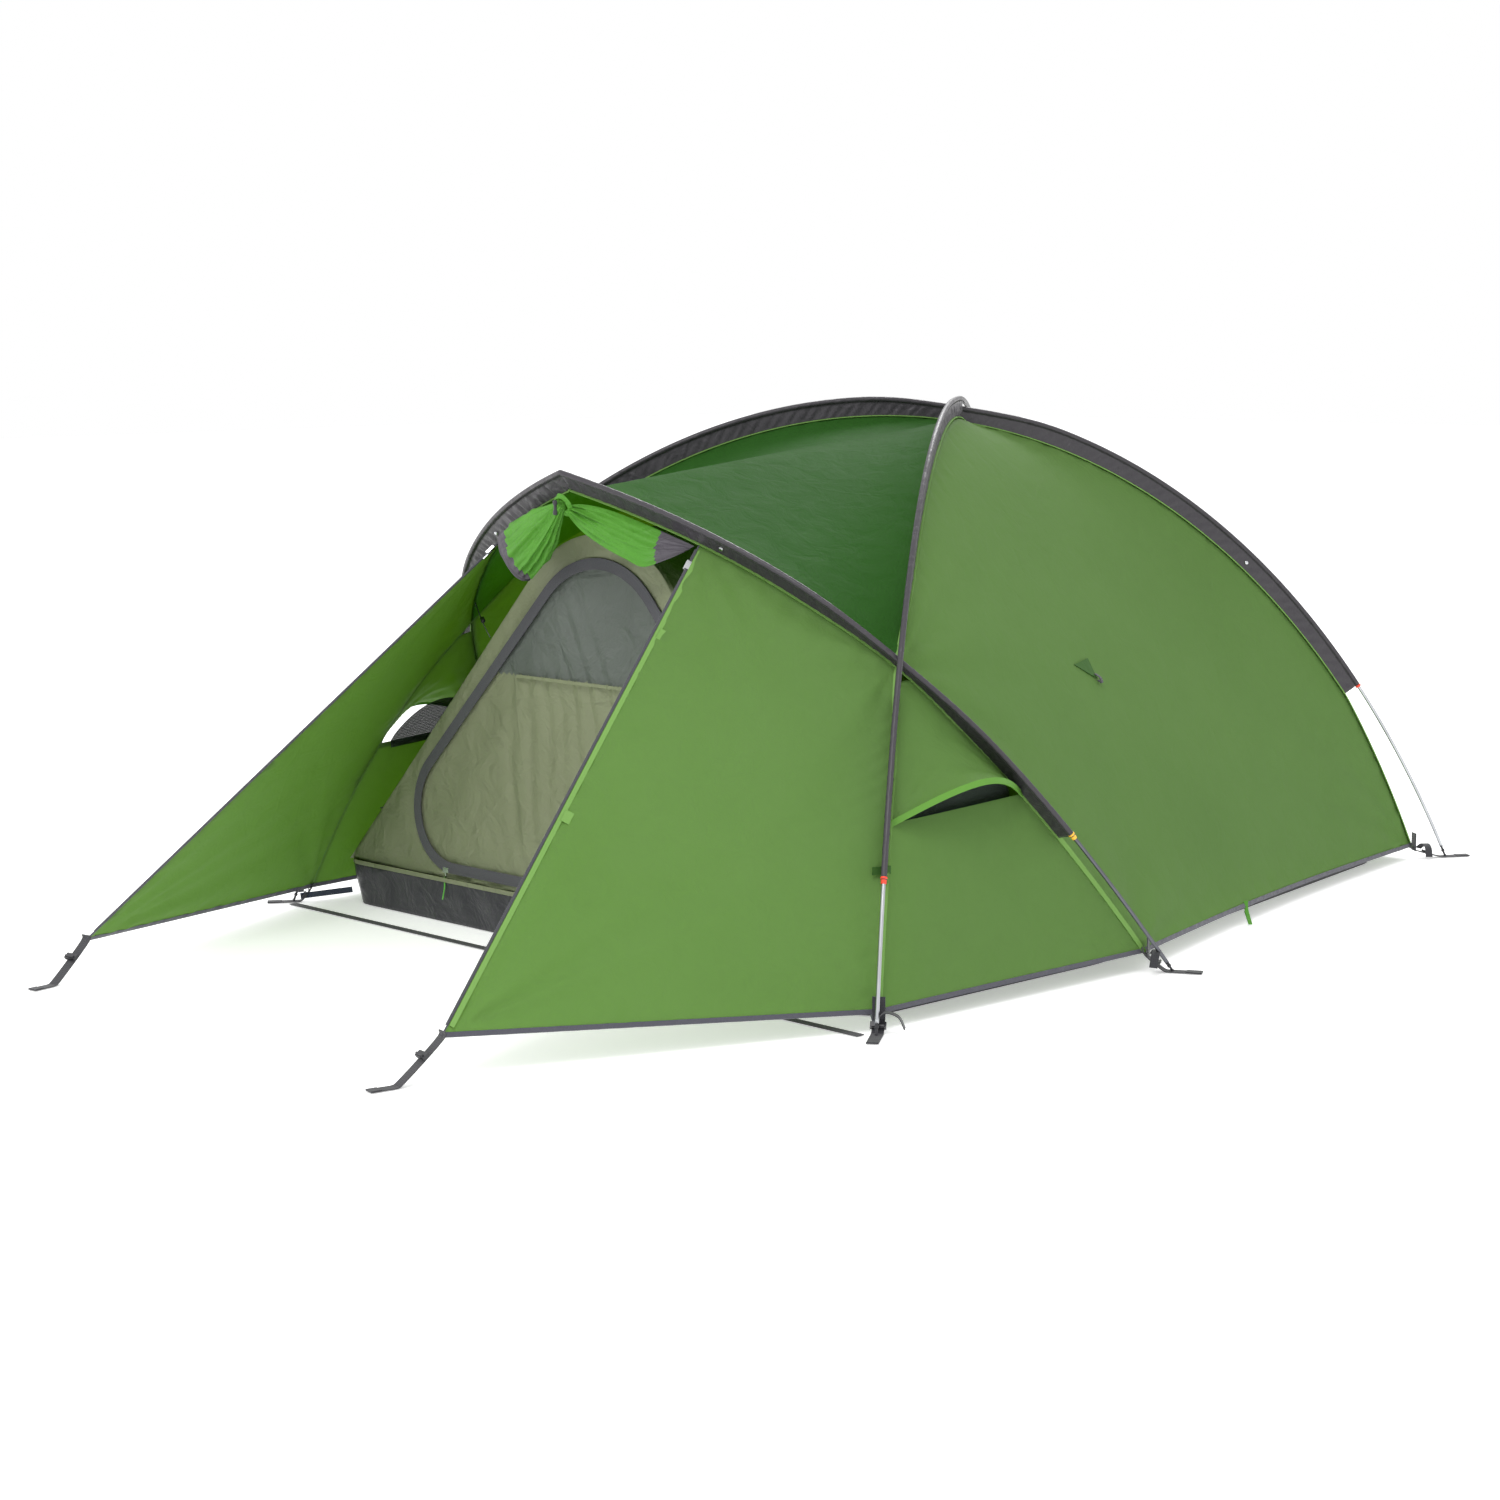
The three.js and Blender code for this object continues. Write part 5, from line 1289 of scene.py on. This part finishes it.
def make_gathered_sheet():
    """The right half of the door: a flat fan of cloth from the tie to the grey corner flap."""
    rng = dice("door fan")
    cols, rows = 96, 64
    u, v = np.linspace(0, 1, cols), np.linspace(0, 1, rows)
    xs = lerp(0.006, 0.304, u)
    upper = np.array([arch.pick(arch.seam, arch.find(arch.seam[:, 0], x, ARCH_SHOULDER, 0.5)) for x in xs])
    upper = upper + np.array([0, -0.008, -0.008])
    upper[:, 2] -= 0.022 * (1 - u) ** 6
    low = curve_through([(0.000, -1.158, 0.984), (0.06, -1.162, 0.944), (0.13, -1.160, 0.912),
                         (0.19, -1.154, 0.890), (0.234, -1.146, 0.876), (0.262, -1.112, 0.888),
                         (0.288, -1.080, 0.905)], 12)
    low = resample(low, cols)
    points = lerp(upper[:, None], low[:, None], v[None, :, None])
    uu, vv = u[:, None], v[None]
    belly = np.sin(np.pi * vv) * np.sin(np.pi * np.clip(uu, 0, 1))
    folds = creases(rng, vv * 9, uu * 1.5, (2, 3, 5)) - 0.4
    lift = 0.016 * belly + 0.020 * folds * np.exp(-uu / 0.5) * smooth(uu / 0.1) * np.sin(np.pi * vv) ** 0.5
    lift = lift + 0.0022 * waves(rng, vv * 0.2 + uu * 0.12, 0.03, 0.08) * np.sin(np.pi * vv)
    points[..., 1] -= lift
    faces = [f[::-1] for f in grid_faces(cols, rows)]
    uv = np.stack(np.broadcast_arrays(uu * 0.31, vv * 0.12), -1).reshape(-1, 2)
    piece = mesh_piece("door_roll_right", points.reshape(-1, 3), faces, BRIGHT, TENT, uv)
    piece.data.materials.append(FLAP)
    face_towards(piece, Vector((0, -1, 0)))
    for face in piece.data.polygons:
        face.material_index = 1 if face.center.x > 0.236 + 0.35 * (0.93 - face.center.z) else 0
    thicken(piece, 0.0009)
    knot = [(-0.004 + 0.019 * math.cos(a), -1.158 - 0.012 * math.sin(a), 0.998 + 0.020 * math.sin(a))
            for a in np.linspace(0, 2 * math.pi, 25)]
    strip("door_tie_loop", knot, (0.6, 0, 0.8), 0.011, 0.0014, BRIGHT)


# ---------- Zips, webbing and small parts ----------

def make_zips():
    for name, side in SIDES:
        mirror = np.array([side, 1, 1])
        low, high = PORCH_CORNER * mirror, door_top_corner * mirror
        corner = front_corner * mirror
        run = unit(high - low)
        across = corner - low
        across = unit(across - run * (across @ run))
        out = np.cross(run, across)
        if out @ (low - np.array([0, -0.3, 0.15])) < 0:
            out = -out
        line = lerp(low + run * 0.028, high - run * 0.020, np.linspace(0, 1, 60)[:, None])
        coil = strip(f"porch_zip_coil_{name}", line, across, 0.006, 0.003, ZIP)
        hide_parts(f"porch_zip_{name}")
        strip(f"porch_zip_tape_{name}", line + across * 0.009 + out * 0.0030, across, 0.010, 0.0014, PALE_SEAM)
        for share in (0.42, 0.80):
            middle = lerp(low, high, share) + across * 0.020 + out * 0.0045
            tab = np.array([middle - run * 0.014, middle, middle + run * 0.014])
            strip(f"storm_flap_tab_{name}_{round(share * 100)}", tab, across, 0.018, 0.0014, PALE_SEAM)
        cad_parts[f"porch_zip_slider_{name}"].data.materials.clear()
        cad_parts[f"porch_zip_slider_{name}"].data.materials.append(PULL_METAL)


def foot_strap(name, corner, foot, tail, node, lift=0.0):
    """Webbing from a corner of the fly to the ground and out to its free end."""
    out = unit((foot - corner) * (1, 1, 0))
    reach = float(np.linalg.norm((foot - corner)[:2]))
    ground = np.array([corner[0], corner[1], 0.0])
    ends = [corner + (0, 0, 0.012) - out * 0.004, corner + out * 0.004 - UP * 0.006,
            ground + out * (reach - 0.018) + UP * 0.0022, ground + out * (reach + 0.004) + UP * 0.0016,
            ground + out * (reach + tail * 0.6) + UP * 0.0016, ground + out * (reach + tail) + UP * 0.0016]
    line = curve_through(ends, 8)
    line[:, 2] = np.maximum(line[:, 2], 0.0013)
    across = np.cross(UP, out)
    piece = strip(f"{name}_webbing", line, across, 0.025, 0.0018, WEB)
    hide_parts(node)
    fold = [p + UP * 0.0030 for p in (ground + out * (reach + tail * 0.45), ground + out * (reach + tail))]
    strip(f"{name}_fold", resample(np.array(fold), 8), across, 0.0235, 0.0018, WEB)
    return out, across


def make_feet():
    feet = (
        ("front_foot", front_corner, np.array([*FRONT_FOOT, 0.0])),
        ("arch_foot", arch_corner, np.array([*ARCH_FOOT, 0.0])),
        ("rear_foot", rear_corner, np.array([*REAR_FOOT, 0.0])),
    )
    for name, side in SIDES:
        mirror = np.array([side, 1, 1])
        for place, corner, foot in feet:
            foot_strap(f"{place}_{name}", corner * mirror, foot * mirror, 0.062,
                       f"{place}_{name}_strap")
        way = unit(np.array([-0.18, -1.0, 0.0]))
        peg = PORCH_CORNER * (1, 1, 0) + way * 0.110
        foot_strap(f"porch_peg_{name}", PORCH_CORNER * mirror, peg * mirror, 0.040,
                   f"porch_peg_{name}_strap")
    y = -1.232
    line = np.stack([np.linspace(-0.944, 0.944, 60), np.full(60, y), np.full(60, 0.0015)], -1)
    base = strip("base_strap_webbing", line, (0, 1, 0), 0.020, 0.0018, WEB)
    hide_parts("front_base_strap")


def tie_line(name, points, body=TENT, material=CORD_BLACK, thick=0.0025):
    """A thin cord through points."""
    data = bpy.data.curves.new(name, "CURVE")
    data.dimensions = "3D"
    data.bevel_depth = thick / 2
    data.bevel_resolution = 3
    data.use_fill_caps = True
    spline = data.splines.new("POLY")
    spline.points.add(len(points) - 1)
    for point, place in zip(spline.points, points):
        point.co = (*map(float, place), 1)
    data.materials.append(material)
    cord = bpy.data.objects.new(name, data)
    bpy.context.scene.collection.objects.link(cord)
    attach(cord, body)
    return cord


def make_elastics():
    """Three elastic ties with toggles on each side, from the inner tent to the arch's seam."""
    for name, side in SIDES:
        mirror = np.array([side, 1, 1])
        for k, up in enumerate((0.20, 0.46, 0.68)):
            seam_t = arch.find(arch.seam[:, 2], up + 0.05, 0, 0.4)
            far = arch.pick(arch.seam, seam_t) * mirror - arch.pick(arch.out, seam_t) * mirror * 0.004
            share = float(np.interp(up, [0.1, 0.8], [0.05, 0.75]))
            near = wall_edge(np.array([share]))[0] * mirror + np.array([0, -0.006, 0])
            line = lerp(near, far, np.linspace(0, 1, 12)[:, None])
            line[:, 2] -= 0.006 * np.sin(np.pi * np.linspace(0, 1, 12))
            cord = tie_line(f"elastic_{name}_{k}", line)
            middle = lerp(near, far, 0.5)
            way = unit(far - near)
            barrel = np.array([middle + way * a for a in (-0.013, -0.011, -0.004, 0.004, 0.011, 0.013)])
            tube(f"elastic_toggle_{name}_{k}", barrel, np.array([0.002, 0.0055, 0.0045, 0.0045, 0.0055, 0.002]),
                 BLACK_PLASTIC, 14)


def make_pull_cords():
    """A bright cord hanging from the inner door's zip."""
    x, up, r = DOOR_CORNER
    turn = math.radians(-100)
    start = lean_point(-x + r * math.cos(turn), up + r * math.sin(turn)) + np.array([0, -0.010, -0.020])
    drop = [start, start + (0.006, -0.004, -0.020), start + (0.001, -0.005, -0.044), start + (-0.004, -0.003, -0.052)]
    line = curve_through(drop, 6)
    line[:, 2] = np.maximum(line[:, 2], 0.004)
    cord = tie_line("inner_zip_pull_cord", line, "inner_zip_slider", CORD_GREEN, 0.0035)


def make_guy_points():
    """Stitched triangles with a loop for a guyline, and peg loops on the side hems."""
    for name, side in SIDES:
        mirror = np.array([side, 1, 1])
        panel = side_panels[name]
        i, j = 40, 47
        p, normal = panel.points[i, j], panel.normal[i, j]
        level = unit(np.cross(UP, normal)) * side
        rise = np.cross(normal, level) * side
        rise = rise if rise[2] > 0 else -rise
        spots = [p - level * 0.046 + rise * 0.012, p + level * 0.030 + rise * 0.020, p + level * 0.026 - rise * 0.032]
        lifted = [q + normal * 0.0026 for q in spots]
        sunk = [q + normal * 0.0008 for q in spots]
        faces = [(0, 1, 2), (5, 4, 3), (0, 3, 4, 1), (1, 4, 5, 2), (2, 5, 3, 0)]
        patch = mesh_piece(f"guy_patch_{name}", lifted + sunk, faces, PATCH, TENT,
                           [(0, 0), (0.07, 0), (0.07, 0.05)] * 2, flat=True)
        fix_normals(patch)
        low = spots[2]
        loop = [low + normal * 0.003 + rise * 0.012, low + normal * 0.010 - rise * 0.002,
                low + normal * 0.008 - rise * 0.014, low + normal * 0.003 - rise * 0.004]
        strip(f"guy_loop_{name}", curve_through(loop, 6), level, 0.010, 0.0012, WEB)
        corner = side_hem(np.array([0.37]))[0] * mirror
        ground = np.array([corner[0] + 0.035 * side, corner[1] - 0.03, 0.004])
        out = unit((ground - corner) * (1, 1, 0))
        peg_loop = [corner + UP * 0.014, corner + out * 0.006 - UP * 0.006, ground, corner - UP * 0.010 + out * 0.002]
        strip(f"hem_peg_loop_{name}", curve_through(peg_loop, 8), np.cross(UP, out), 0.009, 0.0014, BRIGHT)
        tab_at = dome_a.find(dome_a.seam[:, 2], 0.30, 0, 0.3)
        anchor = dome_a.pick(dome_a.seam, tab_at) * mirror
        way = unit((front_corner - PORCH_CORNER) * (-1, -1, 0)) * (side, 1, 1)
        tab = [anchor + way * a + vent_outward * mirror * 0.006 for a in (-0.004, 0.012, 0.030, 0.036)]
        strip(f"sleeve_tab_{name}", curve_through(tab, 5), UP, 0.016, 0.003, PATCH)
        elbow = np.array([*FLOOR[0], 0.030]) * mirror
        foot = np.array([*FRONT_FOOT, 0.012]) * mirror
        corner_strap = lerp(elbow, foot, np.linspace(-0.12, 0.86, 10)[:, None])
        strip(f"tub_corner_strap_{name}", corner_strap, UP, 0.014, 0.0016, NAVY)


def make_corner_tabs():
    """Webbing sewn up the corners of the fly, with a free tail at each adjuster."""
    corners = {"front": front_corner, "arch": arch_corner, "rear": rear_corner}
    feet = {"front": FRONT_FOOT, "arch": ARCH_FOOT, "rear": REAR_FOOT}
    for name, side in SIDES:
        mirror = np.array([side, 1, 1])
        for place, corner in corners.items():
            p = corner * mirror
            out = unit((np.array([*feet[place], 0]) * mirror - p) * (1, 1, 0))
            across = np.cross(UP, out)
            root = p + out * 0.008
            strip(f"{place}_corner_tab_{name}", [root + UP * 0.036, root + UP * 0.010, root - UP * 0.010],
                  across, 0.026, 0.0022, WEB)
            side_way = across * (1 if (across * (1, 1, 0)) @ np.array([side, 0.4, 0]) > 0 else -1)
            tail = [p + out * 0.020 - UP * 0.004, p + out * 0.030 + side_way * 0.018 + UP * 0.010,
                    p + out * 0.030 + side_way * 0.042 + UP * 0.002, p + out * 0.028 + side_way * 0.054 - UP * 0.022]
            line = curve_through(tail, 8)
            line[:, 2] = np.maximum(line[:, 2], 0.012)
            strip(f"{place}_web_tail_{name}", line, out, 0.018, 0.0016, WEB)


def make_eyelets():
    """Small metal eyelets in the sleeves' fins."""
    for piece, rod, t, side in (("arch", arch, 0.395, 1), ("arch", arch, 0.395, -1),
                                ("dome", dome_b, 0.80, 1), ("dome", dome_b, 0.80, -1)):
        mirror = np.array([side, 1, 1])
        seam, pole = rod.pick(rod.seam, t), rod.pick(rod.pole, t)
        centre = lerp(seam, pole, 0.45)
        axis = unit(np.cross(rod.pick(rod.along, t), pole - seam))
        line = np.array([centre + axis * a for a in (-0.0045, -0.0040, 0.0040, 0.0045)]) * mirror
        label = "right" if side == 1 else "left"
        tube(f"{piece}_eyelet_{label}", line, np.array([0.0030, 0.0048, 0.0048, 0.0030]), PULL_METAL, 20)


def dress_cad_nodes():
    """Finishes for the small hard parts that keep their shape."""
    finishes = {"buckle": BLACK_PLASTIC, "tip": BLACK_PLASTIC, "toggle": BLACK_PLASTIC,
                "slider": PULL_METAL, "middle": ALLOY}
    for name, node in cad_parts.items():
        for part, material in finishes.items():
            if part in name:
                node.data.materials.clear()
                node.data.materials.append(material)


def make_nets():
    for name, side in SIDES:
        mirror = np.array([side, 1, 1])
        inset = -vent_outward * 0.022

        def low(s):
            chord = lerp(vent_front, vent_rear, lerp(0.04, 0.96, s)[:, None])
            return (chord + inset - UP * 0.010) * mirror

        def top(s):
            return low(s) + UP * (0.018 + 0.076 * np.sin(np.pi * s) ** 0.8)[:, None]

        ends = [(low(np.array([e]))[0], top(np.array([e]))[0]) for e in (0.0, 1.0)]
        panel = Panel(f"vent_net_cloth_{name}", low, straight(*ends[1]), top, straight(*ends[0]),
                      cols=40, rows=16, rounds=600)
        make_panel(panel, NET, "net", f"vent_net_{name}", thickness=0.0006)


def lay_floor():
    bpy.ops.object.select_all(action="DESELECT")
    bpy.ops.mesh.primitive_plane_add(size=60, location=(0, 0, -0.0015))
    floor = bpy.context.object
    floor.name = "studio_floor"
    floor.data.materials.append(pale_floor())


def make_fly():
    make_roof()
    rear, rear_panel = make_rear()
    hem_binding("hem_rear", rear_panel, "bottom")
    for name, side in SIDES:
        _, panel = make_side(name, side)
        side_panels[name] = panel
        hem_binding(f"hem_side_{name}", panel, "bottom")
        _, hood, lower, _ = make_vent(name, side)
        hem_binding(f"hem_lower_{name}", lower, "bottom")
        hem_binding(f"vent_sill_{name}", lower, "top", GREEN, 0.012)
        _, porch = make_porch(name, side)
        hem_binding(f"hem_porch_{name}", porch, "bottom")
        hem_binding(f"edge_porch_{name}", porch, "left", BINDING, 0.003)


side_panels = {}
aim_camera()
light_studio()
lay_floor()
make_fly()
make_nets()
make_rods()
make_seams()
make_front_wall()
make_inner_door()
make_door_band()
make_inner_shell()
make_bathtub()
make_lobe()
make_gathered_sheet()
make_zips()
make_feet()
make_elastics()
make_pull_cords()
make_guy_points()
make_corner_tabs()
make_eyelets()
dress_cad_nodes()
